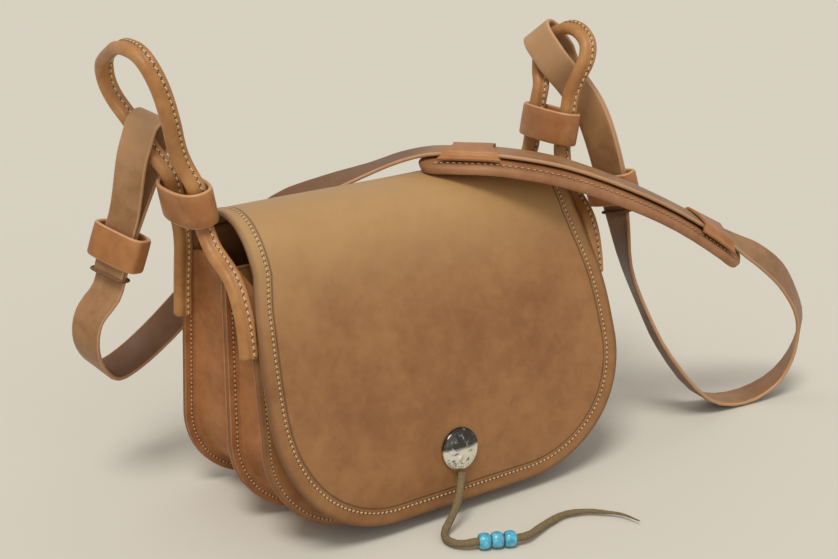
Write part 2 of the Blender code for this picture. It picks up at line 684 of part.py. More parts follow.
def pad_section(share):
    """The pad's outline across its width at a share of its length; its ends are rounded."""
    end = min(share, 1 - share) / 0.075
    taper = sqrt(max(0.0, 1 - (1 - min(1.0, end)) ** 2))
    half = PAD_HALF_WIDTH * (0.35 + 0.65 * taper)
    thick = PAD_HALF_THICKNESS * (0.45 + 0.55 * taper)
    shape = ((-1, -0.45), (-0.8, -1), (0, -1), (0.8, -1), (1, -0.45),
             (1, 0.45), (0.8, 1), (0, 1), (-0.8, 1), (-1, 0.45))
    return [(x * half, z * thick - PAD_SAG * taper * x ** 2) for x, z in shape]


def make_pad(material):
    points, across, sign = pad_frames()
    along, across, normal = strap_frames(points, across)
    lengths = arc_lengths(points)
    drop = STRAP_LEATHER / 2 + PAD_STANDOFF + PAD_HALF_THICKNESS
    rings = []
    for p, w, n, s in zip(points, across, normal, lengths / lengths[-1]):
        middle = p - n * sign * drop
        rings.append([tuple(middle + w * x + n * sign * z) for x, z in pad_section(s)])
    return loft("shoulder_pad", rings, material)


def make_pad_loop(name, first_share, material):
    """A leather bridge sewn to the pad, under which the strap runs."""
    points, across, sign = pad_frames()
    along, across, normal = strap_frames(points, across)
    lengths = arc_lengths(points)
    start = lengths[-1] * first_share - PAD_LOOP_LENGTH / 2
    inside, outside = STRAP_WIDTH / 2 + 2 * GAP, STRAP_WIDTH / 2 + PAD_LOOP_FOOT
    top = STRAP_LEATHER / 2 + 2 * GAP
    foot = -STRAP_LEATHER / 2 - PAD_STANDOFF + GAP
    leather = PAD_LOOP_LEATHER
    shape = [(-outside, foot), (-inside, foot), (-inside, top), (inside, top), (inside, foot), (outside, foot),
             (outside, foot + leather), (inside + leather, foot + leather), (inside + leather, top + leather),
             (-inside - leather, top + leather), (-inside - leather, foot + leather), (-outside, foot + leather)]
    rings = []
    for s in np.linspace(start, start + PAD_LOOP_LENGTH, 7):
        p = np.array([np.interp(s, lengths, points[:, k]) for k in range(3)])
        w = unit([np.interp(s, lengths, across[:, k]) for k in range(3)])
        n = unit([np.interp(s, lengths, normal[:, k]) for k in range(3)]) * sign
        rings.append([tuple(p + w * x + n * z) for x, z in shape])
    return loft_bridge(name, rings, material)


def loft_bridge(name, rings, material):
    """Skin the rings of a bridge, whose ends are closed by its feet, its sides and its top."""
    bm = bmesh.new()
    loops = [[bm.verts.new(Vector(p)) for p in ring] for ring in rings]
    for lower, upper in zip(loops, loops[1:]):
        for i in range(len(lower)):
            j = (i + 1) % len(lower)
            bm.faces.new((lower[i], lower[j], upper[j], upper[i]))
    for ring in (loops[0], loops[-1]):
        for corners in ((0, 1, 10, 11), (1, 2, 9, 10), (2, 3, 8, 9), (3, 4, 7, 8), (4, 5, 6, 7)):
            bm.faces.new([ring[i] for i in corners])
    return finish(name, bm, material)


def make_lace(name, end, material):
    """The lacing that ties the strap's two layers: a closed ring of cord round both of them."""
    centre, axis, across, _ = keeper_on_strap(end, KEEPER_HEIGHT / 2 + LACE_DROP)
    thick = STRAP_LEATHER + 2 * GAP
    up = np.cross(unit(axis), across)
    half_width = STRAP_WIDTH / 2 + LACE_RADIUS + 1.5 * GAP
    half_depth = thick / 2 + STRAP_LEATHER / 2 + LACE_RADIUS + 1.5 * GAP
    corners = [(half_width * cos(a), half_depth * sin(a)) for a in (2 * pi * (i + 0.5) / 16 for i in range(16))]
    rings = []
    for x, z in corners:
        flat = abs(x) / half_width
        side = unit(across * x * half_depth ** 2 + up * z * half_width ** 2)
        x = half_width * (1 if x > 0 else -1) * min(1.0, flat * 1.25)
        z = half_depth * (1 if z > 0 else -1) * min(1.0, abs(z) / half_depth * 2.4)
        middle = centre + across * x + up * z
        rings.append([tuple(middle + LACE_RADIUS * (cos(b) * side + sin(b) * unit(axis)))
                      for b in (2 * pi * i / 6 for i in range(6))])
    return loft(name, rings, material, closed=True)


THONG_POINTS = [(-6, -79.1, 34.2), (-8, -80.6, 29.5), (-14, -86.5, 22.5), (-20.5, -90.5, 15), (-26, -92, 8.6),
                (-31, -94, 4.6), (-35.5, -99, 3.6), (-37.5, -106, 3.6), (-36, -113.5, 4.2), (-31.5, -118.8, 5.2),
                (-25.5, -121.8, 5.9), (-13, -127.4, 5.9), (-0.5, -133.0, 5.9), (9, -133.5, 5.2),
                (20, -129.5, 4.2), (35, -124.5, 3.6), (51, -122, 3.4), (66, -127, 3.2), (76, -136, 3.1),
                (83, -145, 3.1), (86, -158, 3.1)]


def thong_course():
    """The thong's centre line, hung below the concho and laid on the surface in front of the bag."""
    outer, _ = front_profile(30 * MM)
    shift = outer + 75.9 * MM
    return [(x * MM + CONCHO_X + 5 * MM, y * MM + shift, z * MM) for x, y, z in THONG_POINTS]


def make_thong(material):
    curve = bpy.data.curves.new("thong", "CURVE")
    curve.dimensions = "3D"
    curve.bevel_depth = THONG_RADIUS
    curve.bevel_resolution = 2
    curve.use_fill_caps = True
    points = smooth_path(thong_course(), 2)
    spline = curve.splines.new("POLY")
    spline.points.add(len(points) - 1)
    for point, place in zip(spline.points, points):
        point.co = (*place, 1)
    curve.materials.append(material)
    thong = bpy.data.objects.new("thong", curve)
    bpy.context.collection.objects.link(thong)
    return thong


def make_beads(material):
    """Short tubes with rounded shoulders, in a row on the straight stretch of the thong."""
    course = thong_course()
    start, end = np.array(course[10]), np.array(course[12])
    middle, axis = (start + end) / 2, unit(end - start)
    side = unit(np.cross(axis, (0, 0, 1)))
    up = np.cross(side, axis)
    hole, half = THONG_RADIUS + 1.5 * GAP, BEAD_LENGTH / 2
    profile = [(hole, -half), (BEAD_RADIUS * 0.8, -half), (BEAD_RADIUS, -half * 0.55), (BEAD_RADIUS, half * 0.55),
               (BEAD_RADIUS * 0.8, half), (hole, half)]
    for index in range(BEAD_COUNT):
        centre = middle + axis * (index - (BEAD_COUNT - 1) / 2) * (BEAD_LENGTH + 2 * GAP)
        rings = []
        for angle in (2 * pi * i / 16 for i in range(16)):
            out = cos(angle) * side + sin(angle) * up
            rings.append([tuple(centre + out * radius + axis * along) for radius, along in profile])
        loft("bead_" + str(index + 1), rings, material, closed=True)


def main():
    clear_scene()
    leather = make_material("leather", TAN, 0.5)
    gusset_leather = make_material("gusset_leather", DARK_TAN, 0.55)
    flap_leather = make_material("flap_leather", LIGHT_TAN, 0.5)
    strap_leather = make_material("strap_leather", TAN, 0.5)
    suede = make_material("suede", (0.30, 0.20, 0.09), 0.9)
    steel = make_material("polished_silver", (0.75, 0.74, 0.72), 0.2, 1.0)
    turquoise = make_material("turquoise", (0.10, 0.50, 0.50), 0.35)
    make_material("seam_guide", (1, 1, 1), 1.0)
    half = PANEL_LEATHER / 2
    slim = DIVIDER_LEATHER / 2

    make_leaf("back_panel", BACK_HEIGHT, back_y, PANEL_LEATHER, leather)
    make_leaf("divider_panel", DIVIDER_HEIGHT, divider_y, DIVIDER_LEATHER, leather)
    front = make_leaf("front_panel", FRONT_HEIGHT, front_y, PANEL_LEATHER, leather, FRONT_BULGE)
    make_gusset("rear_gusset", GUSSET_HEIGHT, lambda z: back_y(z) - half - GAP,
                lambda z: divider_y(z) + slim + GAP, 0.0, gusset_leather)
    make_gusset("front_gusset", GUSSET_HEIGHT, lambda z: divider_y(z) - slim - GAP,
                lambda z: front_y(z) + half + GAP, GUSSET_HEIGHT - FRONT_HEIGHT, gusset_leather)
    make_flap_top(flap_leather)
    flap = make_flap_front(flap_leather)
    make_flap_facing(leather)
    make_closure(steel, flap, front)

    back_seam = seam_cutter("back_seam_guide", BACK_HEIGHT, lambda z: back_y(z) + half + GAP,
                            lambda z: back_y(z) - half - 2 * GAP - GUSSET_LEATHER)
    front_seam = seam_cutter("front_seam_guide", FRONT_HEIGHT,
                             lambda z: front_y(z) + half + 2 * GAP + GUSSET_LEATHER,
                             lambda z: front_y(z) - half - GAP)
    for name, side, loop in (("left_loop", -1, LEFT_LOOP), ("right_loop", 1, RIGHT_LOOP)):
        make_loop(name, side, loop, (back_seam, front_seam), strap_leather)
        make_loop_keeper(name + "_keeper", side, loop, strap_leather)

    make_strap(strap_leather)
    for end in ("left", "right"):
        make_strap_keeper(end + "_strap_keeper", end, strap_leather)
        make_lace(end + "_strap_lace", end, suede)
    make_pad(leather)
    make_pad_loop("pad_loop_left", 0.13, strap_leather)
    make_pad_loop("pad_loop_right", 0.87, strap_leather)
    make_thong(suede)
    make_beads(turquoise)
    hinge = flap_hinge()
    for name in ("flap_front", "flap_facing", "concho", "snap_socket", "thong", "bead_1", "bead_2", "bead_3"):
        place_on_axis(bpy.data.objects[name], hinge)


main()
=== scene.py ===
"""A leather hunting bag with its stitching, creases and worn leather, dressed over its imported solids."""
from math import cos, pi, radians, sin, sqrt

import bmesh
import bpy
import numpy as np
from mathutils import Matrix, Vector


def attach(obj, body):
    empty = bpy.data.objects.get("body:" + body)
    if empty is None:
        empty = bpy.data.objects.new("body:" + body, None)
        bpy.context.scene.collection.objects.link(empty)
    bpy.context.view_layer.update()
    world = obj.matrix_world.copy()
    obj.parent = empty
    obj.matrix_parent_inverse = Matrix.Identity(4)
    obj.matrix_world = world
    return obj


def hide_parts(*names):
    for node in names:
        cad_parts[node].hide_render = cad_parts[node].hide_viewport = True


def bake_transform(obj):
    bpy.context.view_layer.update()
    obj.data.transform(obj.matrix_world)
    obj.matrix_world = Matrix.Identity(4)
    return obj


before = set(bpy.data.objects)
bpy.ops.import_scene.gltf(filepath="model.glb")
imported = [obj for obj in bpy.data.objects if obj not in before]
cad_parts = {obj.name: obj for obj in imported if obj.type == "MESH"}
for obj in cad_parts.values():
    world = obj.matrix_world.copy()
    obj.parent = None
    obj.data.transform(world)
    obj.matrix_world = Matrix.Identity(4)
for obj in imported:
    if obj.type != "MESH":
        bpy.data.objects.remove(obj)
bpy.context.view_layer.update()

MM = 0.001
GAP = 0.3 * MM

# The body: three leaves joined by two U-shaped bellows.
HALF_WIDTH = 142 * MM
CORNER_RADIUS = 64 * MM
BACK_HEIGHT = 198 * MM
DIVIDER_HEIGHT = 186 * MM
GUSSET_HEIGHT = 184 * MM
FRONT_HEIGHT = 157 * MM
TOP_CORNER = 10 * MM
PANEL_LEATHER = 3.0 * MM
DIVIDER_LEATHER = 2.5 * MM
GUSSET_LEATHER = 2.0 * MM
BACK_BASE_Y = 71 * MM
BACK_TOP_Y = 54 * MM
FRONT_BASE_Y = -55 * MM
FRONT_TOP_Y = -35.7 * MM
FRONT_BULGE = 14 * MM
BULGE_SHARES = (0.2, 0.45, 0.7, 0.9, 1.0)
CORNER_LIFT = 8 * MM
LEAF_ROUNDING = 0.9 * MM

# The flap: one leather cover that bends where it turns down over the front.
FLAP_LEATHER = 3.0 * MM
FLAP_PROFILE = [(64.0, 171), (62.3, 187), (57.5, 201), (48, 210), (35, 215), (18, 218), (1, 215),
                (-13, 206.5), (-23, 195), (-30, 182), (-36, 168), (-45, 150), (-53, 130), (-59.5, 110),
                (-66, 90), (-71, 70), (-74.5, 50), (-76, 35), (-76.5, 20), (-76.5, 3)]
FLAP_BEND_HEIGHT = 187 * MM
FLAP_BACK_HALF_WIDTH = 128 * MM
FLAP_BEND_HALF_WIDTH = 134 * MM
FLAP_HALF_WIDTH = 145 * MM
FLAP_CORNER_RADIUS = 90 * MM
FLAP_BOTTOM = 10 * MM
FLAP_BACK_CORNER = 14 * MM
FLAP_ROUNDING = 1.1 * MM
FLAP_WAVE = 0.35 * MM
ROW_STEP = 2.6 * MM
# The power by which the flap narrows on its way up to the bend.
FLAP_SIDE_SWEEP = 2.2

# The facing's section: how far in from the flap's edge and how deep behind the flap, in mm.
FACING_SECTION = ((1.4, 0), (10, 0), (18.6, 0), (19.7, 0.3), (20, 1), (19.7, 1.7), (18.6, 2), (10, 2),
                  (1.4, 2), (0.9, 1))

# The closure's domed cap.
CONCHO_X = -5 * MM
CONCHO_HEIGHT = 50 * MM
CONCHO_RADIUS = 15 * MM
CONCHO_DOME = 4.5 * MM
CONCHO_RIM = 1.2 * MM

# The two rolled loops at the sides, which straddle the front and back seams.
LOOP_RADIUS = 6.2 * MM
LOOP_LEG_SPACING = 35 * MM
KEEPER_LEATHER = 2.8 * MM
KEEPER_HEIGHT = 24 * MM
LOOP_KEEPER_INNER_DEPTH = 21 * MM
LOOP_KEEPER_PLAY = 0.4 * MM
STRAP_KEEPER_INNER_WIDTH = 36 * MM
STRAP_KEEPER_INNER_DEPTH = 14 * MM
STRAP_KEEPER_SAG = 2.2 * MM

# The shoulder strap, its pad and the lacing at its ends.
STRAP_WIDTH = 25 * MM
STRAP_LEATHER = 3.0 * MM
STRAP_END = 10 * MM
LACE_RADIUS = 1.1 * MM
LACE_DROP = 3 * MM
PAD_HALF_WIDTH = 22 * MM
PAD_SAG = 4 * MM
PAD_HALF_THICKNESS = 4.2 * MM
PAD_STANDOFF = 0.6 * MM
PAD_LOOP_LENGTH = 32 * MM
PAD_LOOP_LEATHER = 1.8 * MM
# How far past the strap a bridge is sewn down.
BRIDGE_FOOT = 6.5 * MM
# How far apart the sections along the strap and the pad are.
COURSE_STEP = 3.0 * MM

# Where the pad's seams run, as a share of its half width.
PAD_SEAM_SHARE = 0.80

# The stitches of each kind of seam.
FLAP_SEAM_INSET = 10 * MM
SEAM_INSET = 4.2 * MM
HOLE_RADIUS = 0.5 * MM
FLAP_STITCH = {"pitch": 3.5 * MM, "length": 2.3 * MM, "radius": 0.42 * MM, "slant": 0.5}
SEAM_STITCH = {"pitch": 3.4 * MM, "length": 2.2 * MM, "radius": 0.38 * MM, "slant": 0.4}
LOOP_STITCH = {"pitch": 4.6 * MM, "length": 3.0 * MM, "radius": 0.50 * MM, "slant": 0.25}
PAD_STITCH = {"pitch": 4.4 * MM, "length": 2.8 * MM, "radius": 0.4 * MM, "slant": 0.62}

# The thong that pulls the flap open, with three beads threaded on it.
THONG_RADIUS = 2.6 * MM
THONG_TAPER = 75 * MM
BEAD_RADIUS = 5.6 * MM
BEAD_LENGTH = 8.2 * MM
BEAD_COUNT = 3


def smooth_path(points, steps):
    """Points along a Catmull-Rom curve through the given ones, of any number of dimensions."""
    given = np.array(points, float)
    padded = np.vstack([2 * given[0] - given[1], given, 2 * given[-1] - given[-2]])
    curve = []
    for a, b, c, d in zip(padded, padded[1:], padded[2:], padded[3:]):
        for t in np.arange(steps) / steps:
            curve.append(0.5 * (2 * b + (c - a) * t + (2 * a - 5 * b + 4 * c - d) * t ** 2
                                + (3 * b - a - 3 * c + d) * t ** 3))
    curve.append(given[-1])
    return np.array(curve)


def arc_lengths(points):
    steps = np.linalg.norm(np.diff(points, axis=0), axis=1)
    return np.concatenate([[0.0], np.cumsum(steps)])


def unit(vector):
    return np.array(vector, float) / np.linalg.norm(vector)


def tangents(points):
    return np.array([unit(v) for v in np.gradient(points, axis=0)])


def clamp(share):
    return min(1.0, max(0.0, share))


def ease(share):
    """A smooth step from 0 to 1, level at both ends."""
    share = clamp(share)
    return share * share * (3 - 2 * share)


def signed_power(value, power):
    return abs(value) ** power * (1 if value > 0 else -1)


def turns(count):
    """Evenly spaced angles round a circle."""
    return [2 * pi * i / count for i in range(count)]


def sample(s, lengths, table):
    """A table's row at a length along its path."""
    return np.array([np.interp(s, lengths, column) for column in np.transpose(table)])


def back_y(z):
    """The back panel's middle plane, which leans in towards the top."""
    return BACK_BASE_Y + (BACK_TOP_Y - BACK_BASE_Y) * z / BACK_HEIGHT


def front_y(z):
    return FRONT_BASE_Y + (FRONT_TOP_Y - FRONT_BASE_Y) * z / FRONT_HEIGHT


# The flap's outer face from the back seam to the bottom edge, as (y, z), with the direction into the bag.
profile_rows = smooth_path(np.array(FLAP_PROFILE) * MM, 6)
profile_inward = np.array([(-dz, dy) for dy, dz in tangents(profile_rows)])
bend_row = next(i for i in range(int(profile_rows[:, 1].argmax()), len(profile_rows))
                if profile_rows[i, 1] < FLAP_BEND_HEIGHT)
profile_length = arc_lengths(profile_rows)
bend_length = profile_length[bend_row]


def front_profile(z):
    """Where the hanging part of the flap is at a height: its outer face's y and inward direction."""
    rows, facing = profile_rows[bend_row - 1:][::-1], profile_inward[bend_row - 1:][::-1]
    return np.interp(z, rows[:, 1], rows[:, 0]), sample(z, rows[:, 1], facing)


def flap_half_width(z):
    """Half the hanging flap's width at a height above its rounded bottom corners."""
    centre = FLAP_BOTTOM + FLAP_CORNER_RADIUS
    rise = clamp((z - centre) / (FLAP_BEND_HEIGHT - centre))
    return FLAP_HALF_WIDTH + (FLAP_BEND_HALF_WIDTH - FLAP_HALF_WIDTH) * rise ** FLAP_SIDE_SWEEP


def at(side, across, y, height):
    """A point given from the body's side edge (or its middle) and from the back panel's top."""
    return (side * (HALF_WIDTH + across * MM) if side else across * MM, y * MM, BACK_HEIGHT + height * MM)


def low(side, across, y, z):
    """A point given from the body's side edge and from the surface that the bag stands on."""
    return (side * (HALF_WIDTH + across * MM), y * MM, z * MM)


# Each loop's eye, from its front leg round to its back leg, and where its keeper holds the legs.
LEFT_LOOP = {"keeper_y": 28.5, "keeper_low": 16,
             "rise": [(4.5, -22, -12), (5, 0, 1), (5.5, 8, 10)],
             "eye": [(16, 15, 56), (21, 14, 69), (27, 9, 89), (33, 7, 108), (38, 10, 122), (40.5, 19, 130),
                     (41, 33, 132), (40, 48, 130.5), (38.5, 60, 126), (35, 83, 114), (31, 90.5, 100),
                     (27, 88, 88), (23, 78, 77), (20, 67, 67), (17, 57, 57)]}
RIGHT_LOOP = {"keeper_y": 23.5, "keeper_low": 25,
              "rise": [(4.5, -23, -19), (5, -8, -6), (5.5, 2, 8), (5.8, 5, 17)],
              "eye": [(14, 6.5, 64), (18, 3.5, 77), (23, 1.5, 89), (27, 6, 100), (29, 20, 107),
                      (28.5, 35, 106), (25.5, 45.5, 99), (22, 52, 89), (20.5, 51, 80), (18, 48, 72),
                      (15, 43, 63)]}


def loop_route(side, loop):
    """A loop's centre line: up from the front seam, through the keeper, round and down to the back seam."""
    half = LOOP_LEG_SPACING / 2 / MM
    middle, foot = loop["keeper_y"], loop["keeper_low"]
    front = [(3.5, -37.8, -60), (3.5, -36.0, -47), (3.5, -31.5, -31)] + loop["rise"]
    legs = [(6, foot), (8, foot + 13), (11, foot + 27)]
    up = [(x, middle - half, z) for x, z in legs]
    down = [(x, middle + half, z) for x, z in reversed(legs)]
    back = [(4, middle + half + 0.5, foot - 11), (2, 49.5, -8), (1, 53, -21),
            (0.6, 55.7, -36), (0.6, 57.2, -52), (0.6, 58.0, -60)]
    return [at(side, *p) for p in front + up + loop["eye"] + down + back]


# Where the strap hangs in each loop: a point on the loop's back limb, the way down the strap, the
# way across it and the way that its visible face looks.
LEFT_HANG = {"on": (-1, 18, 65, 62), "bend": 9.5 * MM, "down": (-0.269, 0.134, -0.954),
             "across": (0.395, -0.888, -0.236), "face": (-0.879, -0.440, 0.186)}
RIGHT_HANG = {"on": (1, 23, 49.5, 94), "bend": 11 * MM, "down": (0.28, -0.49, -0.83),
              "across": (0.42, -0.71, 0.56), "face": (-0.863, -0.506, 0.007)}
# The points of the strap's course where the pad starts and ends.
PAD_ENDS = (at(0, 38, 36, 29), at(1, 131, -60, -62))
# How far down the strap from its fold each keeper sits.
LEFT_KEEPER_DROP = 87 * MM
RIGHT_KEEPER_DROP = 128 * MM


def hang_point(hang, face, across, down):
    spot = np.array(at(*hang["on"]))
    for key, amount in (("face", face), ("across", across), ("down", down)):
        spot = spot + unit(hang[key]) * amount * MM
    return spot


def strap_controls():
    """The long layer of the strap from the left fold to the right fold, as (point, across)."""
    left, right = LEFT_HANG, RIGHT_HANG
    rows = [(hang_point(left, face, 0, down), left["across"])
            for face, down in ((-9.5, -9), (-9.4, 4), (-7.5, 24), (-4, 48), (-1.8, 68), (-1.8, 88),
                               (-1.8, 108))]
    rows += [(at(-1, 57, 84, -57), (0.36, -0.9, -0.25)),
             (at(-1, 60, 87, -75), (0.35, -0.9, -0.25)), (at(-1, 53, 95, -94), (0.33, -0.9, -0.3)),
             (at(-1, 37, 107, -110), (0.3, -0.88, -0.35)), (at(-1, 16, 115, -108), (0.3, -0.86, -0.4)),
             (at(-1, -5, 115, -95), (0.3, -0.85, -0.45)), (at(-1, -25, 109, -75), (0.3, -0.85, -0.45)),
             (at(0, -89, 96, -40), (0.15, -0.9, -0.4)), (at(0, -50, 85, -7), (-0.05, -0.93, -0.33)),
             (at(0, -18, 74, 6), (-0.25, -0.93, -0.2)), (at(0, 14, 59, 17.5), (-0.5, -0.86, 0)),
             (at(0, 29, 45, 26), (-0.55, -0.83, 0.03)), (at(0, 44, 29, 32), (-0.6, -0.8, 0.05)),
             (at(0, 60, 9, 34), (-0.6, -0.8, 0.05)), (at(0, 82, -9, 33), (-0.5, -0.86, 0.02)),
             (at(0, 117, -29, 25), (-0.35, -0.93, -0.05)), (at(1, 20, -43, 6), (-0.25, -0.96, -0.1)),
             (at(1, 66, -51, -18), (-0.2, -0.97, -0.15)), (at(1, 112, -57, -46), (-0.27, -0.92, -0.27)),
             (at(1, 134, -60, -60), (-0.36, -0.8, -0.45)), (at(1, 152, -62, -71), (-0.5, -0.65, -0.55)),
             (at(1, 175, -64, -90), (-0.65, -0.55, -0.5)), (low(1, 193, -65, 83), (-0.75, -0.6, -0.2)),
             (low(1, 203, -63, 59), (-0.8, -0.6, 0)), (low(1, 200, -59, 32), (-0.65, -0.76, 0.12)),
             (low(1, 185, -53, 11), (-0.4, -0.9, 0.1)), (low(1, 152, -47, 2.2), (-0.15, -0.98, 0)),
             (low(1, 113, -45, 15), (-0.15, -0.98, 0)), (low(1, 76, -41, 58), (-0.3, -0.95, 0)),
             (low(1, 59, -33, 94), (-0.4, -0.91, 0)), (at(1, 53, -19, -72), (-0.38, -0.92, 0)),
             (at(1, 53, -8, -40), (-0.05, -0.99, 0.1)), (at(1, 51, -1, -13), (0.3, -0.93, 0.15)),
             (at(1, 42.5, 5, 24), (0.4, -0.84, 0.3)), (at(1, 37, 13, 47), (0.41, -0.77, 0.45))]
    rows += [(hang_point(right, *spot), right["across"])
             for spot in ((8, 5, 40), (12, 4.5, 28), (13.6, 3.5, 18), (13.2, 2.5, 8), (12, 1.5, -1))]
    return rows


def strap_frames(points, across):
    """Square the width directions to the path; returns (along, across, normal) at each point."""
    along = tangents(points)
    across = np.array([unit(w - t * (w @ t)) for w, t in zip(across, along)])
    return along, across, np.cross(along, across)


def nearest(points, spot):
    return abs(points - np.array(spot)).sum(axis=1).argmin()


def fold_back(points, across, normal, side, bend, length, straight, spread):
    """The rest of a strap that turns round a loop and comes back beside itself, on one side."""
    end, along = points[-1], unit(points[-1] - points[-2])
    out = normal[-1] * side
    turn = [end + out * bend * (1 - cos(a)) + along * bend * sin(a) for a in np.linspace(0, pi, 9)[1:]]
    lengths = arc_lengths(points)
    back = lengths[-1] - lengths
    touching = STRAP_LEATHER + 2 * GAP
    rest, widths = [], []
    for i in range(len(points) - 2, -1, -1):
        if back[i] > length:
            break
        offset = 2 * bend + (touching - 2 * bend) * ease((back[i] - straight) / (spread - straight))
        rest.append(points[i] + normal[i] * side * offset)
        widths.append(across[i])
    return np.array(turn + rest), np.array([across[-1]] * len(turn) + widths)


def strap_course():
    """The strap's whole centre line and its width directions, from its left end to its right end."""
    rows = strap_controls()
    fine = smooth_path([(*point, *unit(width)) for point, width in rows], 3)
    points, across = fine[:, :3], fine[:, 3:]
    _, across, normal = strap_frames(points, across)
    beyond = KEEPER_HEIGHT / 2 + STRAP_END
    facing = normal[0] @ unit(LEFT_HANG["face"])
    left, left_across = fold_back(points[::-1], across[::-1], normal[::-1], 1 if facing > 0 else -1,
                                  LEFT_HANG["bend"], LEFT_KEEPER_DROP + beyond, 14 * MM, 72 * MM)
    facing = normal[-1] @ unit(RIGHT_HANG["face"])
    right, right_across = fold_back(points, across, normal, -1 if facing > 0 else 1,
                                    RIGHT_HANG["bend"], RIGHT_KEEPER_DROP + beyond, 12 * MM, 42 * MM)
    course = np.vstack([left[::-1], points, right])
    widths = np.vstack([left_across[::-1], across, right_across])
    return course, widths, len(left), len(left) + len(points)


course, course_widths, course_first, course_last = strap_course()


def keeper_on_strap(end, beyond=0.0):
    """The middle of the strap's two layers at one end: its centre, the way up, across and out."""
    points, first, last = course, course_first, course_last
    along, across, normal = strap_frames(points, course_widths)
    lengths = arc_lengths(points)
    if end == "left":
        start, drop, step = first, LEFT_KEEPER_DROP + beyond, 1
    else:
        start, drop, step = last - 1, RIGHT_KEEPER_DROP + beyond, -1
    goal = abs(lengths - lengths[start] - step * drop).argmin()
    others = range(0, first) if end == "left" else range(last, len(points))
    near = min(others, key=lambda i: np.linalg.norm(points[i] - points[goal]))
    offset = points[near] - points[goal]
    offset = normal[goal] * (offset @ normal[goal])
    return points[goal] + offset / 2, along[goal] * -step, across[goal], unit(offset)


def pad_frames():
    """The part of the strap that the pad lies under: points, widths and the way away from the bag."""
    _, across, normal = strap_frames(course, course_widths)
    start, end = (nearest(course, spot) for spot in PAD_ENDS)
    span = slice(start, end + 1)
    sign = 1 if normal[(start + end) // 2][2] > 0 else -1
    return course[span], across[span], sign


# The thong's centre line with the cap at x = -5 and the flap's face at y = -75.9, in mm.
THONG_POINTS = [(-6, -79.1, 34.2), (-8, -80.6, 29.5), (-14, -86.5, 22.5), (-20.5, -90.5, 15), (-26, -92, 8.6),
                (-31, -94, 4.6), (-35.5, -99, 3.6), (-37.5, -106, 3.6), (-36, -113.5, 4.2),
                (-31.5, -118.8, 5.2), (-25.5, -121.8, 5.9), (-13, -127.4, 5.9), (-0.5, -133.0, 5.9),
                (9, -133.5, 5.2), (20, -129.5, 4.2), (35, -124.5, 3.6), (51, -122, 3.4), (66, -127, 3.2),
                (76, -136, 3.1),
                (83, -145, 3.1), (86, -158, 3.1)]


def thong_course():
    """The thong's centre line, hung below the concho and laid on the surface in front of the bag."""
    outer, _ = front_profile(30 * MM)
    shift = outer + 75.9 * MM
    return [(x * MM + CONCHO_X + 5 * MM, y * MM + shift, z * MM) for x, y, z in THONG_POINTS]


# Materials

def linear(colour):
    """An sRGB colour of 0 to 255 as the shader's linear values."""
    values = []
    for channel in colour:
        c = channel / 255
        values.append(c / 12.92 if c <= 0.04045 else ((c + 0.055) / 1.055) ** 2.4)
    return (*values, 1.0)


class Nodes:
    """A material's node tree with short calls to add and join nodes."""

    def __init__(self, name):
        self.material = bpy.data.materials.new(name)
        self.material.use_nodes = True
        self.tree = self.material.node_tree
        self.shader = self.tree.nodes["Principled BSDF"]

    def add(self, kind, inputs=None, output=0, **settings):
        """One of a new node's outputs; its inputs are values or other nodes' outputs."""
        node = self.tree.nodes.new(kind)
        for key, value in settings.items():
            setattr(node, key, value)
        self.feed(node, inputs or {})
        return node.outputs[output]

    def feed(self, node, inputs):
        for key, item in inputs.items():
            if isinstance(item, bpy.types.NodeSocket):
                self.tree.links.new(item, node.inputs[key])
            elif item is not None:
                node.inputs[key].default_value = item

    def surface(self, **inputs):
        """The material, with the shader's inputs set; underscores stand for spaces."""
        self.feed(self.shader, {key.replace("_", " "): item for key, item in inputs.items()})
        return self.material

    def value(self, operation, a, b=None, c=None):
        return self.add("ShaderNodeMath", {0: a, 1: b, 2: c}, operation=operation)

    def mix(self, factor, a, b, blend="MIX"):
        return self.add("ShaderNodeMix", {"Factor": factor, 6: a, 7: b}, 2, data_type="RGBA",
                        blend_type=blend)

    def place(self):
        if not hasattr(self, "coordinates"):
            self.coordinates = self.add("ShaderNodeTexCoord", output="Object")
        return self.coordinates

    def noise(self, scale, detail=4.0, roughness=0.55, distortion=0.0):
        return self.add("ShaderNodeTexNoise", {"Scale": scale, "Detail": detail, "Roughness": roughness,
                                               "Distortion": distortion, "Vector": self.place()}, "Fac")

    def cells(self, scale, feature="F1"):
        return self.add("ShaderNodeTexVoronoi", {"Scale": scale, "Vector": self.place()}, "Distance",
                        feature=feature)

    def band(self, value, low, high, top=1.0):
        return self.add("ShaderNodeMapRange", {"Value": value, "From Min": low, "From Max": high,
                                               "To Max": top}, "Result", interpolation_type="SMOOTHSTEP")

    def attribute(self, name):
        return self.add("ShaderNodeAttribute", output="Fac", attribute_name=name)

    def height(self):
        return self.add("ShaderNodeSeparateXYZ", {0: self.place()}, 2)

    def bump(self, height, strength, distance, normal=None):
        return self.add("ShaderNodeBump", {"Strength": strength, "Distance": distance, "Height": height,
                                           "Normal": normal}, "Normal")


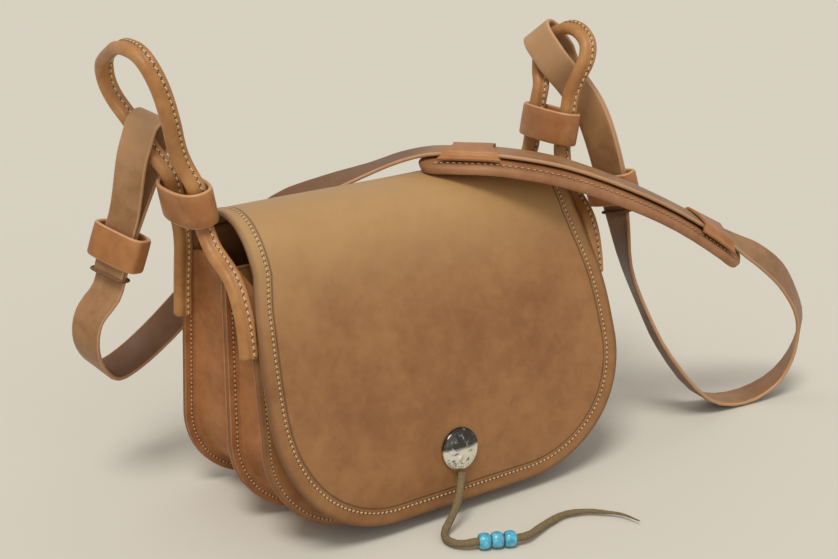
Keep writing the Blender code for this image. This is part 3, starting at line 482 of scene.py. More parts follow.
def leather(name, dark, light, rough=0.48, blotch=22, edge=None, painted_top_light=None, crease=0.0, rim=None, flesh_and_shade=None):
    """Smooth vegetable-tanned leather: soft mottling, faint scratches, fine pores and burnished edges.

    edge darkens the rim by the mesh's "edge" distance; painted_top_light mixes to another colour by height,
    painted light that makes the upper parts lighter as if lit from above; rim and flesh_and_shade are the
    colours of the cut edges and of the rough back, where the mesh marks them, the back's darker colour partly
    painted shade; crease cuts a groove at that edge distance, as a bump, darkened with painted shade.
    """
    n = Nodes(name)
    soft = n.noise(blotch, 5, 0.6)
    streak = n.noise(90, 6, 0.65, distortion=0.4)
    mottle = n.value("MULTIPLY_ADD", streak, 0.45, n.value("MULTIPLY", soft, 0.75))
    base = n.mix(n.band(mottle, 0.38, 0.82), linear(dark), linear(light))
    # Painted light: the colour changes with height, for upper parts lit from above.
    if painted_top_light:
        colour, low, high = painted_top_light
        base = n.mix(n.band(n.height(), low, high), base, n.mix(0.35, linear(colour), base))
    pores = n.cells(1500)
    base = n.mix(n.band(pores, 0.0, 0.35, 0.16), n.mix(0.22, base, linear(dark), "MULTIPLY"), base)
    height = n.value("MULTIPLY_ADD", n.noise(420, 4), 0.5, n.band(pores, 0.0, 0.5))
    for mark, colour in (("flesh_and_shade", flesh_and_shade), ("rim", rim)):
        if colour:
            base = n.mix(n.band(n.attribute(mark), 0.25, 0.75), base, n.mix(0.3, linear(colour), base))
    if edge:
        worn = n.band(n.attribute("edge"), 0.0, edge)
        base = n.mix(worn, n.mix(0.62, base, linear(tuple(c * 0.62 for c in dark))), base)
    normal = n.bump(height, 0.22, 0.0004)
    normal = n.bump(n.noise(30, 3), 0.25, 0.0016, normal)
    if crease:
        line = n.value("ABSOLUTE", n.value("SUBTRACT", n.attribute("edge"), crease))
        groove = n.band(line, 0.0, 0.0011)
        normal = n.bump(groove, 0.75, 0.0011, normal)
        # The groove's colour is darkened too: painted shade in the crease, over its bump.
        depth = n.value("MULTIPLY", n.value("SUBTRACT", 1.0, groove), 0.55)
        base = n.mix(depth, base, linear(tuple(c * 0.6 for c in dark)))
    return n.surface(Base_Color=base, Normal=normal, Specular_IOR_Level=0.42,
                     Roughness=n.value("MULTIPLY_ADD", soft, 0.22, rough - 0.11))


def plain(name, colour, rough, bump=0.0, scale=800, metallic=0.0, spread=0.25):
    """One colour with a fine grain, darker by a share of the colour in places."""
    n = Nodes(name)
    grain = n.noise(scale, 4)
    base = n.mix(n.band(grain, 0.3, 0.75), linear(tuple(c * (1 - spread) for c in colour)), linear(colour))
    return n.surface(Base_Color=base, Roughness=rough, Metallic=metallic,
                     Normal=n.bump(grain, 0.5, bump) if bump else None)


def turquoise_stone():
    n = Nodes("turquoise_stone")
    veins = n.cells(330, "DISTANCE_TO_EDGE")
    cloud = n.noise(260, 4)
    base = n.mix(n.band(cloud, 0.35, 0.7), linear((58, 148, 176)), linear((104, 196, 220)))
    base = n.mix(n.band(veins, 0.0, 0.03), n.mix(0.5, linear((60, 90, 96)), base), base)
    return n.surface(Base_Color=base, Roughness=0.22)


def engraved_silver():
    n = Nodes("engraved_silver")
    reflection_breakup = n.noise(240, 4, 0.6)
    # Painted reflection: above the cap's centre height the silver turns dark where the noise is high, a dark
    # reflection painted on the dome's upper half.
    above = n.band(n.height(), CONCHO_HEIGHT, CONCHO_HEIGHT + 0.0035)
    painted_dark_reflection = n.value("MULTIPLY", above, n.band(reflection_breakup, 0.22, 0.44))
    base = n.mix(n.value("MULTIPLY", painted_dark_reflection, 0.92), linear((238, 236, 226)), linear((34, 33, 27)))
    return n.surface(Base_Color=base, Metallic=1.0, Normal=n.bump(n.cells(420), 0.22, 0.0004),
                     Roughness=n.value("MULTIPLY_ADD", reflection_breakup, 0.16, 0.06))


# Mesh building

def dress(piece, body, slot, *nodes):
    """Fixes a piece to its body and hides the solids that it stands for. slot is not used."""
    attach(piece, body)
    if nodes:
        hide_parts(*nodes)
    return piece


def link(name, data):
    """A new object in the scene."""
    obj = bpy.data.objects.new(name, data)
    bpy.context.scene.collection.objects.link(obj)
    return obj


def new_object(name, verts, faces, materials, sharp=50):
    mesh = bpy.data.meshes.new(name)
    mesh.from_pydata([tuple(v) for v in verts], [], faces)
    bm = bmesh.new()
    bm.from_mesh(mesh)
    bmesh.ops.recalc_face_normals(bm, faces=bm.faces)
    bm.to_mesh(mesh)
    bm.free()
    mesh.shade_smooth()
    mesh.set_sharp_from_angle(angle=radians(sharp))
    for material in materials:
        mesh.materials.append(material)
    return link(name, mesh)


def mark(obj, name, values):
    attribute = obj.data.attributes.new(name, "FLOAT", "POINT")
    attribute.data.foreach_set("value", np.array(values, dtype=np.float32))


def distance_to(outline, points):
    """Each 2-D point's distance to a closed outline."""
    a, b = outline, np.roll(outline, -1, axis=0)
    best = np.full(len(points), 1e9)
    for p, q in zip(a, b):
        d = q - p
        t = np.clip(((points - p) @ d) / max(d @ d, 1e-12), 0, 1)
        best = np.minimum(best, np.linalg.norm(points - p - t[:, None] * d, axis=1))
    return best


def hide(name, rows, place, thickness, material, columns, round_by):
    """A sheet of leather with rounded cut edges.

    Each row is a half width and a level; place(x, level, out) puts a point in space, out metres in
    front of the middle of the leather.
    """
    share = np.linspace(-1, 1, columns)
    share = np.sign(share) * (1 - (1 - abs(share)) ** 1.25)
    flat = np.array([[(w * s, v) for s in share] for w, v in rows])
    half = thickness / 2
    index = np.arange(len(rows) * columns).reshape(-1, columns)
    ring = list(index[0]) + list(index[1:, -1]) + list(index[-1, -2::-1]) + list(index[-2:0:-1, 0])
    points = flat.reshape(-1, 2)
    border = points[ring]
    along = np.roll(border, -1, axis=0) - np.roll(border, 1, axis=0)
    normal = np.stack([along[:, 1], -along[:, 0]], axis=1)
    normal /= np.linalg.norm(normal, axis=1)[:, None] + 1e-12
    if ((border - border.mean(axis=0)) * normal).sum() < 0:
        normal = -normal
    outline = border + normal * round_by
    verts = [place(x, v, half) for x, v in points] + [place(x, v, -half) for x, v in points]
    count = len(points)
    faces = []
    for r in range(len(rows) - 1):
        for c in range(columns - 1):
            a, b, d, e = index[r, c], index[r, c + 1], index[r + 1, c + 1], index[r + 1, c]
            faces.append((a, b, d, e))
            faces.append((e + count, d + count, b + count, a + count))
    loops = [list(ring)]
    flat_all = [points, points]
    for grow, out in ((0.75, 0.72), (1.0, 0.0), (0.75, -0.72)):
        ring_points = border + normal * round_by * grow
        loops.append(list(range(len(verts), len(verts) + len(ring))))
        verts += [place(x, v, half * out) for x, v in ring_points]
        flat_all.append(ring_points)
    loops.append([i + count for i in ring])
    for lower, upper in zip(loops, loops[1:]):
        for i in range(len(ring)):
            j = (i + 1) % len(ring)
            faces.append((lower[i], lower[j], upper[j], upper[i]))
    obj = new_object(name, verts, [tuple(int(i) for i in f) for f in faces], (material,))
    mark(obj, "edge", distance_to(outline, np.vstack(flat_all)))
    return obj


def loft(name, rings, material, closed=False, sharp=50):
    """A skin over rings of points, with capped ends or closed on itself."""
    count = len(rings[0])
    verts = [p for ring in rings for p in ring]
    faces = []
    total = len(rings)
    for r in range(total if closed else total - 1):
        for i in range(count):
            j = (i + 1) % count
            s = (r + 1) % total
            faces.append((r * count + i, r * count + j, s * count + j, s * count + i))
    if not closed:
        for start in (0, (total - 1) * count):
            for i in range(count // 2 - 1):
                faces.append((start + i, start + i + 1, start + count - 2 - i, start + count - 1 - i))
    return new_object(name, verts, faces, (material,), sharp)


def rounded_section(half_width, half_thickness, steps=3):
    """A flat strap's section with rounded edges, as (across, up), round from its lower left."""
    r = half_thickness
    lower, upper = [], []
    for i in range(-4, 5):
        x = (half_width - r) * i / 4
        lower.append((x, -half_thickness))
        upper.append((-x, half_thickness))
    turn = [(half_width - r + r * cos(a), r * sin(a)) for a in np.linspace(-pi / 2, pi / 2, steps + 3)[1:-1]]
    back = [(-x, -z) for x, z in turn]
    return lower + turn + upper + back


def resample(points, others, spacing):
    """A path and the values along it at even spacing."""
    lengths = arc_lengths(points)
    goals = np.linspace(0, lengths[-1], max(2, int(round(lengths[-1] / spacing)) + 1))
    return [np.array([sample(s, lengths, table) for s in goals]) for table in (points, others)]


def stitches(name, seams, pitch, length, radius, slant):
    """Slanted stitches and their punched holes, the holes dark discs of painted shade, along seams given as
    (points, ways out of the leather).
    """
    verts, faces, slots = [], [], []

    def blob(centre, axis, side, up, half_length, r_side, r_up, slot, sides=7):
        start = len(verts)
        for s, k in ((-1.0, 0.0), (-0.82, 0.75), (-0.35, 1.0), (0.35, 1.0), (0.82, 0.75), (1.0, 0.0)):
            if k == 0.0:
                verts.append(centre + axis * half_length * s)
                continue
            for a in turns(sides):
                around = side * r_side * k * cos(a) + up * r_up * k * sin(a)
                verts.append(centre + axis * half_length * s + around)
        first, last = start, len(verts) - 1
        for i in range(sides):
            j = (i + 1) % sides
            faces.append((first, start + 1 + j, start + 1 + i))
            slots.append(slot)
            for ring in range(3):
                a = start + 1 + ring * sides
                faces.append((a + i, a + j, a + sides + j, a + sides + i))
                slots.append(slot)
            a = start + 1 + 3 * sides
            faces.append((a + i, a + j, last))
            slots.append(slot)

    spots = [spot for points, outs in seams for spot in along_curve(points, outs, pitch)]
    for point, along, out in spots:
        out = unit(out)
        along = unit(along - out * (along @ out))
        side = np.cross(out, along)
        axis = unit(along + side * slant)
        across = np.cross(out, axis)
        blob(point + out * 0.15 * MM, axis, across, out, length / 2, radius, radius * 0.8, 0)
        for end in (-1, 1):
            blob(point + axis * end * (length / 2 + 0.35 * MM) + out * 0.02 * MM, axis, across, out,
                 HOLE_RADIUS, HOLE_RADIUS, 0.14 * MM, 1, 6)
    obj = new_object(name, verts, faces, (thread, hole_shade))
    obj.data.polygons.foreach_set("material_index", np.array(slots, dtype=np.int32))
    return obj


def along_curve(points, outs, pitch):
    """Evenly spaced (point, along, out) on a path, with the given outward directions."""
    points, outs = np.array(points), np.array(outs)
    lengths = arc_lengths(points)
    directions = tangents(points)
    spots = []
    s = pitch / 2
    while s < lengths[-1]:
        spots.append(tuple(sample(s, lengths, table) for table in (points, directions, outs)))
        s += pitch
    return spots


# The leathers and the rest, in sRGB of 0 to 255, matched by spot to the photo.
# Painted light in these: the flap's and the strap's lighter colour towards the top, as lit from above; the
# flap's darkened crease groove, painted shade; and the strap's darker back, partly the rough back and partly
# painted shade.
flap_skin = leather("flap_skin", (140, 93, 50), (168, 121, 72), 0.46, 14, edge=0.0045,
                    painted_top_light=((206, 170, 116), 0.135, 0.225), crease=0.0128)
body_skin = leather("body_skin", (152, 100, 56), (184, 134, 82), 0.5, 22, edge=0.004)
gusset_skin = leather("gusset_skin", (148, 93, 50), (186, 127, 76), 0.52, 26)
strap_skin = leather("strap_skin", (138, 96, 58), (176, 134, 90), 0.46, 24, rim=(196, 152, 112),
                     flesh_and_shade=(100, 66, 44), painted_top_light=((206, 166, 122), 0.215, 0.29))
loop_skin = leather("loop_skin", (164, 110, 58), (196, 146, 88), 0.42, 24)
keeper_skin = leather("keeper_skin", (156, 100, 54), (188, 132, 78), 0.42, 24, rim=(206, 160, 118))
pad_skin = leather("pad_skin", (146, 98, 60), (176, 126, 84), 0.5, 24)
lace_skin = plain("lace_skin", (128, 88, 54), 0.7, 0.0003, 900)
thread = plain("thread", (236, 210, 168), 0.8, 0.0002, 2600)
# The holes' dark brown is painted shade in the holes.
hole_shade = plain("stitch_hole_shade", (70, 40, 20), 0.9)
suede = plain("suede", (144, 124, 86), 0.95, 0.0006, 1500, spread=0.35)
silver = engraved_silver()
stone = turquoise_stone()
dull_metal = plain("dull_metal", (190, 186, 178), 0.35, 0.0, 500, 1.0)


# The flap: one hide over both of its solids, which bends at the joint.
def flap_at(length):
    """The flap's outer face at a length from its back seam: its y, its z and the way in."""
    inward = sample(length, profile_length, profile_inward)
    return (*sample(length, profile_length, profile_rows), unit(inward))


def flap_place(x, length, out):
    """A point of the flap, out metres in front of its middle; the leather has a slight hand-made wave."""
    y, z, inward = flap_at(length)
    depth = FLAP_LEATHER / 2 - out
    wave = FLAP_WAVE * sin(x * 31 + 1.3) * sin(length * 27 + 0.4)
    return (x, y + inward[0] * (depth + wave), z + inward[1] * (depth + wave))


def flap_outline(rounding):
    """Half widths and lengths along the flap from its back seam to its bottom edge."""
    low_z = FLAP_BOTTOM + FLAP_CORNER_RADIUS
    front = profile_rows[bend_row:]
    rows = []
    for length in np.arange(rounding, bend_length, ROW_STEP):
        share = length / bend_length
        width = FLAP_BACK_HALF_WIDTH + (FLAP_BEND_HALF_WIDTH - FLAP_BACK_HALF_WIDTH) * share
        corner = max(0.0, FLAP_BACK_CORNER - length)
        width -= FLAP_BACK_CORNER - sqrt(max(0.0, FLAP_BACK_CORNER ** 2 - corner ** 2))
        rows.append((width - rounding, length))
    length = bend_length
    while True:
        z = flap_at(length)[1]
        if z < low_z:
            break
        rows.append((flap_half_width(z) - rounding, length))
        length += ROW_STEP
    radius = FLAP_CORNER_RADIUS - rounding
    for angle in np.linspace(0, pi / 2, 46)[1:]:
        z = low_z - radius * sin(angle)
        width = FLAP_HALF_WIDTH - FLAP_CORNER_RADIUS + radius * cos(angle)
        rows.append((width, np.interp(-z, -front[:, 1], profile_length[bend_row:])))
    return rows


flap_rows = flap_outline(FLAP_ROUNDING)


def on_flap(piece, slot, *nodes):
    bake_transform(piece)
    if nodes:
        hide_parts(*nodes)


flap = hide("flap", flap_rows, flap_place, FLAP_LEATHER, flap_skin, 60, FLAP_ROUNDING)
on_flap(flap, "flap_leather", "flap_top", "flap_front")

left = [(-w, v) for w, v in flap_outline(FLAP_SEAM_INSET)]
border = left + [(-x, v) for x, v in reversed(left)]
border_points = [flap_place(x, v, FLAP_LEATHER / 2) for x, v in border]
border_outs = [(0, *-flap_at(v)[2]) for _, v in border]
on_flap(stitches("flap_stitches", [(border_points, border_outs)], **FLAP_STITCH), "suede")


# The facing sewn behind the hanging part's edge.
def make_facing():
    radius = FLAP_CORNER_RADIUS
    centre_x, centre_z = FLAP_HALF_WIDTH - radius, FLAP_BOTTOM + radius
    edge = [(-flap_half_width(z), z) for z in np.arange(FRONT_HEIGHT - 9 * MM, centre_z, -4 * MM)]
    edge += [(-centre_x - radius * cos(a), centre_z - radius * sin(a)) for a in np.linspace(0, pi / 2, 30)]
    edge += [(0.0, FLAP_BOTTOM)]
    edge += [(-x, z) for x, z in reversed(edge[:-1])]
    path = np.array(edge)
    rings = []
    for (x, z), (dx, dz) in zip(path, tangents(path)):
        ring = []
        for inset, depth in FACING_SECTION:
            px, pz = x - dz * inset * MM, z + dx * inset * MM
            y, inward = front_profile(pz)
            off = FLAP_LEATHER + GAP + depth * MM
            ring.append((px, y + inward[0] * off, pz + inward[1] * off))
        rings.append(ring)
    piece = loft("facing", rings, body_skin)
    mark(piece, "edge", [0.01] * len(piece.data.vertices))
    dress(piece, "flap", "body_leather", "flap_facing")


make_facing()


# The three leaves of the body.
def leaf_rows(height, rounding):
    radius = CORNER_RADIUS - rounding
    rows = []
    for angle in np.linspace(pi / 2, 0, 7)[:-1]:
        rows.append((HALF_WIDTH - TOP_CORNER + (TOP_CORNER - rounding) * cos(angle),
                     height - TOP_CORNER + (TOP_CORNER - rounding) * sin(angle)))
    for z in np.linspace(height - TOP_CORNER, CORNER_RADIUS, 30)[:-1]:
        rows.append((HALF_WIDTH - rounding, z))
    for angle in np.linspace(0, pi / 2, 26):
        rows.append((HALF_WIDTH - CORNER_RADIUS + radius * cos(angle), CORNER_RADIUS - radius * sin(angle)))
    return rows


def leaf_share(x, z, height):
    """How far out a point is on a leaf: 0 in the middle and 1 at the edge."""
    middle = height / 2
    vertical = abs(z - middle) / middle
    corner_x, corner_z = abs(x) - (HALF_WIDTH - CORNER_RADIUS), CORNER_RADIUS - z
    if corner_x > 0 and corner_z > 0:
        low_share, high_share = 0.0, 1.6
        for _ in range(18):
            share = (low_share + high_share) / 2
            across = abs(x) / share - (HALF_WIDTH - CORNER_RADIUS)
            down = CORNER_RADIUS - (middle + (z - middle) / share)
            inside = across <= 0 or down <= 0 or across ** 2 + down ** 2 <= CORNER_RADIUS ** 2
            if inside and abs(x) / share <= HALF_WIDTH:
                high_share = share
            else:
                low_share = share
        return high_share
    return max(vertical, abs(x) / HALF_WIDTH)


def draw_up(piece):
    """Lifts the front leaf's lower corners a little, with the bellows and the seam that hang on them."""
    for v in piece.data.vertices:
        front = clamp(-v.co.y / (45 * MM))
        low, side = ease((110 * MM - v.co.z) / (85 * MM)), ease((abs(v.co.x) - 25 * MM) / (55 * MM))
        v.co.z += CORNER_LIFT * front * low * side


def make_leaf(name, node, height, plane, thickness, bulge=0.0):
    fields = [max(0.0, 1 - (s / BULGE_SHARES[-2]) ** 2) for s in BULGE_SHARES]

    def place(x, z, out):
        y = plane(z) - out
        if bulge:
            y -= bulge * np.interp(leaf_share(x, z, height), BULGE_SHARES, fields)
        return (x, y, z)

    piece = hide(name, leaf_rows(height, LEAF_ROUNDING), place, thickness, body_skin, 40 if bulge else 26,
                 LEAF_ROUNDING)
    draw_up(piece)
    dress(piece, "bag", "body_leather", node)


make_leaf("back_leaf", "back_panel", BACK_HEIGHT, back_y, PANEL_LEATHER)
make_leaf("divider_leaf", "divider_panel", DIVIDER_HEIGHT, lambda z: 0.0, DIVIDER_LEATHER)
make_leaf("front_leaf", "front_panel", FRONT_HEIGHT, front_y, PANEL_LEATHER, FRONT_BULGE)


def side_path(top, count=26):
    """Round a leaf's edge from one top corner to the other: (x, z) and the way out of the edge."""
    inner = HALF_WIDTH - CORNER_RADIUS
    left_side = [(-HALF_WIDTH, z, -1.0, 0.0) for z in np.linspace(top, CORNER_RADIUS, 34)[:-1]]
    for angle in np.linspace(0, pi / 2, count + 1):
        c, s = cos(angle), sin(angle)
        left_side.append((-inner - CORNER_RADIUS * c, CORNER_RADIUS * (1 - s), -c, -s))
    left_side.append((0.0, 0.0, 0.0, -1.0))
    return left_side + [(-x, z, -nx, nz) for x, z, nx, nz in reversed(left_side[:-1])]


# The bellows: smooth folded strips with a softly creased inward fold. The first half of the fold, as
# mm in from the edge, share of the way forward and mm off the leaf.
BELLOWS_FOLD = [(-0.2, 0, 1.0), (-3, 0, 1.0), (-6, 0, 1.15), (-8.6, 0, 2.0), (-10, 0, 4.4),
                (-12.2, 0.16, 3.2), (-14.6, 0.33, 1.8), (-17.3, 0.45, 1.2), (-18.7, 0.5, 0)]


def make_bellows(name, node, top, rear, front, drop):
    """A folded strip between two leaves' planes; drop is how far its front edge's top lies below top."""
    leather_half = GUSSET_LEATHER / 2
    chain = BELLOWS_FOLD + [(u, 1 - share, -depth) for u, share, depth in reversed(BELLOWS_FOLD[:-1])]

    def place(step, u, share, depth):
        x, z, nx, nz = step
        inset = u * MM
        level = z + nz * inset
        if level > top / 2:
            level -= drop * share * (level - top / 2) / (top / 2)
        y = rear(level) + (front(level) - rear(level)) * share - depth * MM
        return np.array((x + nx * inset, y, level))

    rings = []
    for i, step in enumerate(side_path(top)):
        line = smooth_path([place(step, *spot) for spot in chain], 3)
        along = np.array((step[3], 0.0, -step[2]))
        ripple = 0.5 * MM * sin(i * 0.83) * sin(i * 0.31 + 1)
        side = np.cross(tangents(line), along)
        out = np.array((step[2], 0.0, step[3]))
        if (side[len(side) // 4] @ out) < 0:
            side = -side
        weight = np.sin(np.linspace(0, pi, len(line))) ** 2
        line = line + out * (ripple * weight)[:, None]
        rings.append([*(line + side * leather_half), *(line - side * leather_half)[::-1]])
    piece = loft(name, rings, gusset_skin, sharp=60)
    draw_up(piece)
    dress(piece, "bag", "gusset_leather", node)


panel_half, divider_half = PANEL_LEATHER / 2, DIVIDER_LEATHER / 2
make_bellows("rear_bellows", "rear_gusset", GUSSET_HEIGHT, lambda z: back_y(z) - panel_half - GAP,
             lambda z: divider_half + GAP, 0.0)
make_bellows("front_bellows", "front_gusset", GUSSET_HEIGHT, lambda z: -divider_half - GAP,
             lambda z: front_y(z) + panel_half + GAP, GUSSET_HEIGHT - FRONT_HEIGHT)


def seam_stitches(name, top, surface, facing):
    points, outs = [], []
    for x, z, nx, nz in side_path(top - 6 * MM):
        px, pz = x - nx * SEAM_INSET, z - nz * SEAM_INSET
        points.append((px, surface(pz), pz))
        outs.append((0.0, facing, 0.0))
    piece = stitches(name, [(points, outs)], **SEAM_STITCH)
    draw_up(piece)
    dress(piece, "bag", "suede")


strip_face = GAP + GUSSET_LEATHER
seam_stitches("front_seam_stitches", FRONT_HEIGHT, lambda z: front_y(z) - panel_half, -1.0)
seam_stitches("middle_seam_stitches", GUSSET_HEIGHT, lambda z: -divider_half - strip_face, -1.0)
seam_stitches("rear_seam_stitches", GUSSET_HEIGHT, lambda z: back_y(z) - panel_half - strip_face, -1.0)
seam_stitches("back_seam_stitches", BACK_HEIGHT, lambda z: back_y(z) + panel_half, 1.0)


# The rolled loops: a piped roll with a sewn flange.
def piped_section(radius):
    """A round roll on one side and a flat flange on the other, as (towards the flange, across)."""
    flange = [(1.01, 0.12), (0.9, 0.33), (0.66, 0.38), (0.42, 0.33)]
    roll = [(-0.30 + 0.70 * cos(a), 0.70 * sin(a)) for a in np.linspace(radians(38), radians(322), 18)]
    points = flange + roll + [(u, -v) for u, v in reversed(flange)]
    return [(radius * u, radius * v) for u, v in points]


def make_rolled_loop(name, node, side, loop):
    path = smooth_path(loop_route(side, loop), 6)
    path, _ = resample(path, path, 2.2 * MM)
    directions = tangents(path)
    seam_side = np.array((0.80, -0.52, 0.62))
    rings, seams = [], {1: ([], []), -1: ([], [])}
    for p, d in zip(path, directions):
        turn = unit(seam_side - d * (seam_side @ d))
        other = np.cross(d, turn)
        rings.append([p + u * turn + v * other for u, v in piped_section(LOOP_RADIUS)])
        for way, (points, outs) in seams.items():
            points.append(p + LOOP_RADIUS * (0.62 * turn + 0.37 * way * other))
            outs.append(way * other)
    rounded_ends = []
    for index, way in ((0, -1), (len(path) - 1, 1)):
        p, d = path[index], directions[index] * way
        rounded_ends.append([[p + d * LOOP_RADIUS * 0.22 * sin(t) + (q - p) * cos(t) for q in rings[index]]
                             for t in (0.5, 1.0, 1.35)])
    rings = rounded_ends[0][::-1] + rings + rounded_ends[1]
    piece = loft(name, rings, loop_skin, sharp=80)
    dress(piece, "bag", "strap_leather", node)
    dress(stitches(name + "_stitches", seams.values(), **LOOP_STITCH), "bag", "suede")


make_rolled_loop("left_rolled_loop", "left_loop", -1, LEFT_LOOP)
make_rolled_loop("right_rolled_loop", "right_loop", 1, RIGHT_LOOP)


# Keepers: bands with rounded cut edges. Half of the wall's section, from the middle of its inner face
# down and round to the middle of its outer face, as shares of the thickness and of half the height.
KEEPER_WALL = [(0.0, 0.0), (0.0, -0.4), (0.0, -0.86), (0.18, -0.97), (0.5, -1.0), (0.82, -0.97), (1.0, -0.86),
               (1.03, -0.4), (1.04, 0.0)]


def make_keeper(name, node, centre, axis, long_way, inner, roundness):
    """A band round axis; inner is its opening along long_way and across it."""
    axis = unit(axis)
    long_way = unit(np.array(long_way) - axis * (np.array(long_way) @ axis))
    short_way = np.cross(axis, long_way)
    centre = np.array(centre)
    wall = KEEPER_WALL + [(grow, -rise) for grow, rise in reversed(KEEPER_WALL[1:-1])]
    rings = []
    for angle in turns(72):
        a, b = signed_power(cos(angle), roundness), signed_power(sin(angle), roundness)
        ring = []
        for grow, rise in wall:
            thick = grow * KEEPER_LEATHER
            spot = (inner[0] / 2 + thick) * a * long_way + (inner[1] / 2 + thick) * b * short_way
            ring.append(centre + spot + axis * rise * KEEPER_HEIGHT / 2)
        rings.append(ring)
    piece = loft(name, rings, keeper_skin, closed=True, sharp=70)
    mark(piece, "rim", [float(abs(rise) > 0.9) for _, rise in wall] * len(rings))
    dress(piece, node, "strap_leather", node)


for which, side, loop in (("left", -1, LEFT_LOOP), ("right", 1, RIGHT_LOOP)):
    foot, middle = loop["keeper_low"], loop["keeper_y"]
    spot = np.array(at(side, 8, middle, foot + 13))
    upward = np.array(at(side, 11, middle, foot + 27)) - np.array(at(side, 6, middle, foot))
    opening = (LOOP_LEG_SPACING + 2 * (LOOP_RADIUS + LOOP_KEEPER_PLAY), LOOP_KEEPER_INNER_DEPTH)
    make_keeper(which + "_loop_band", which + "_loop_keeper", spot, upward, (0, 1, 0), opening, 0.8)
    spot, upward, wide, out = keeper_on_strap(which)
    opening = (STRAP_KEEPER_INNER_WIDTH, STRAP_KEEPER_INNER_DEPTH)
    make_keeper(which + "_strap_band", which + "_strap_keeper", spot - out * STRAP_KEEPER_SAG, upward, wide,
                opening, 0.55)


# The strap.
fine_course, fine_across = resample(course, course_widths, COURSE_STEP)
strap_section = rounded_section(STRAP_WIDTH / 2, STRAP_LEATHER / 2)
_, fine_wide, fine_up = strap_frames(fine_course, fine_across)
strap = loft("strap", [[p + w * x + n * z for x, z in strap_section]
                       for p, w, n in zip(fine_course, fine_wide, fine_up)], strap_skin)
mark(strap, "rim", [float(abs(x) > STRAP_WIDTH / 2 - 1.0 * MM) for x, _ in strap_section] * len(fine_course))
strap_lengths = arc_lengths(fine_course)
bight_start, pad_start, pad_end, hang_start = (strap_lengths[nearest(fine_course, spot)] for spot in (
    at(-1, 57, 84, -70), *PAD_ENDS, at(1, 53, -8, -40)))


def back_and_shade_share(s):
    """How much of the darker back colour shows at a length along the strap: partly the leather's rough back
    and partly painted shade.
    """
    shown = np.interp(s, [bight_start, bight_start + 0.03, pad_start - 0.02, pad_start + 0.03],
                      [0, 1, 1, 0]) if s < pad_end else 0.0
    return max(shown, np.interp(s, [pad_end + 0.1, pad_end + 0.16, hang_start - 0.02, hang_start + 0.03],
                                [0, 1, 1, 0]))


# The strap's lower face takes the darker back colour on two spans, fading in and out: partly its rough back
# and partly painted shade.
mark(strap, "flesh_and_shade", [back_and_shade_share(s) * float(z < -STRAP_LEATHER * 0.49)
                      for s in strap_lengths for _, z in strap_section])
dress(strap, "bag", "strap_leather", "shoulder_strap")


# The pad under it, with its two sewn bridges.
pad_points, pad_across, pad_sign = pad_frames()
pad_points, pad_across = resample(pad_points, pad_across, COURSE_STEP)
_, pad_wide, pad_up = strap_frames(pad_points, pad_across)
pad_up = pad_up * pad_sign
pad_lengths = arc_lengths(pad_points)


def pad_shape(share):
    """The pad's section at a share of its length, thinner and narrower towards its ends."""
    end = min(share, 1 - share) / 0.075
    taper = sqrt(1 - (1 - clamp(end)) ** 2)
    half = PAD_HALF_WIDTH * (0.35 + 0.65 * taper)
    thick = PAD_HALF_THICKNESS * (0.45 + 0.55 * taper)
    shape = []
    for a in turns(40):
        x, z = signed_power(cos(a), 0.42), signed_power(sin(a), 0.55)
        groove = 1 - 0.16 * np.exp(-((abs(x) - PAD_SEAM_SHARE) / 0.045) ** 2)
        shape.append((x * half, z * thick * groove - PAD_SAG * taper * x ** 2))
    return shape


drop = STRAP_LEATHER / 2 + PAD_STANDOFF + PAD_HALF_THICKNESS
pad_rings = []
for p, w, n, s in zip(pad_points, pad_wide, pad_up, pad_lengths / pad_lengths[-1]):
    pad_rings.append([p - n * drop + w * x + n * z for x, z in pad_shape(s)])
pad = loft("pad", pad_rings, pad_skin, sharp=70)
dress(pad, "bag", "body_leather", "shoulder_pad")

pad_seams = []
for edge in (-1, 1):
    deep = drop - PAD_HALF_THICKNESS + PAD_SAG * PAD_SEAM_SHARE ** 2 + 0.4 * MM
    across = edge * PAD_SEAM_SHARE * PAD_HALF_WIDTH
    line = [p - n * deep + w * across for p, w, n in zip(pad_points, pad_wide, pad_up)]
    pad_seams.append((line[5:-5], pad_up[5:-5]))
dress(stitches("pad_stitches", pad_seams, **PAD_STITCH), "bag", "suede")


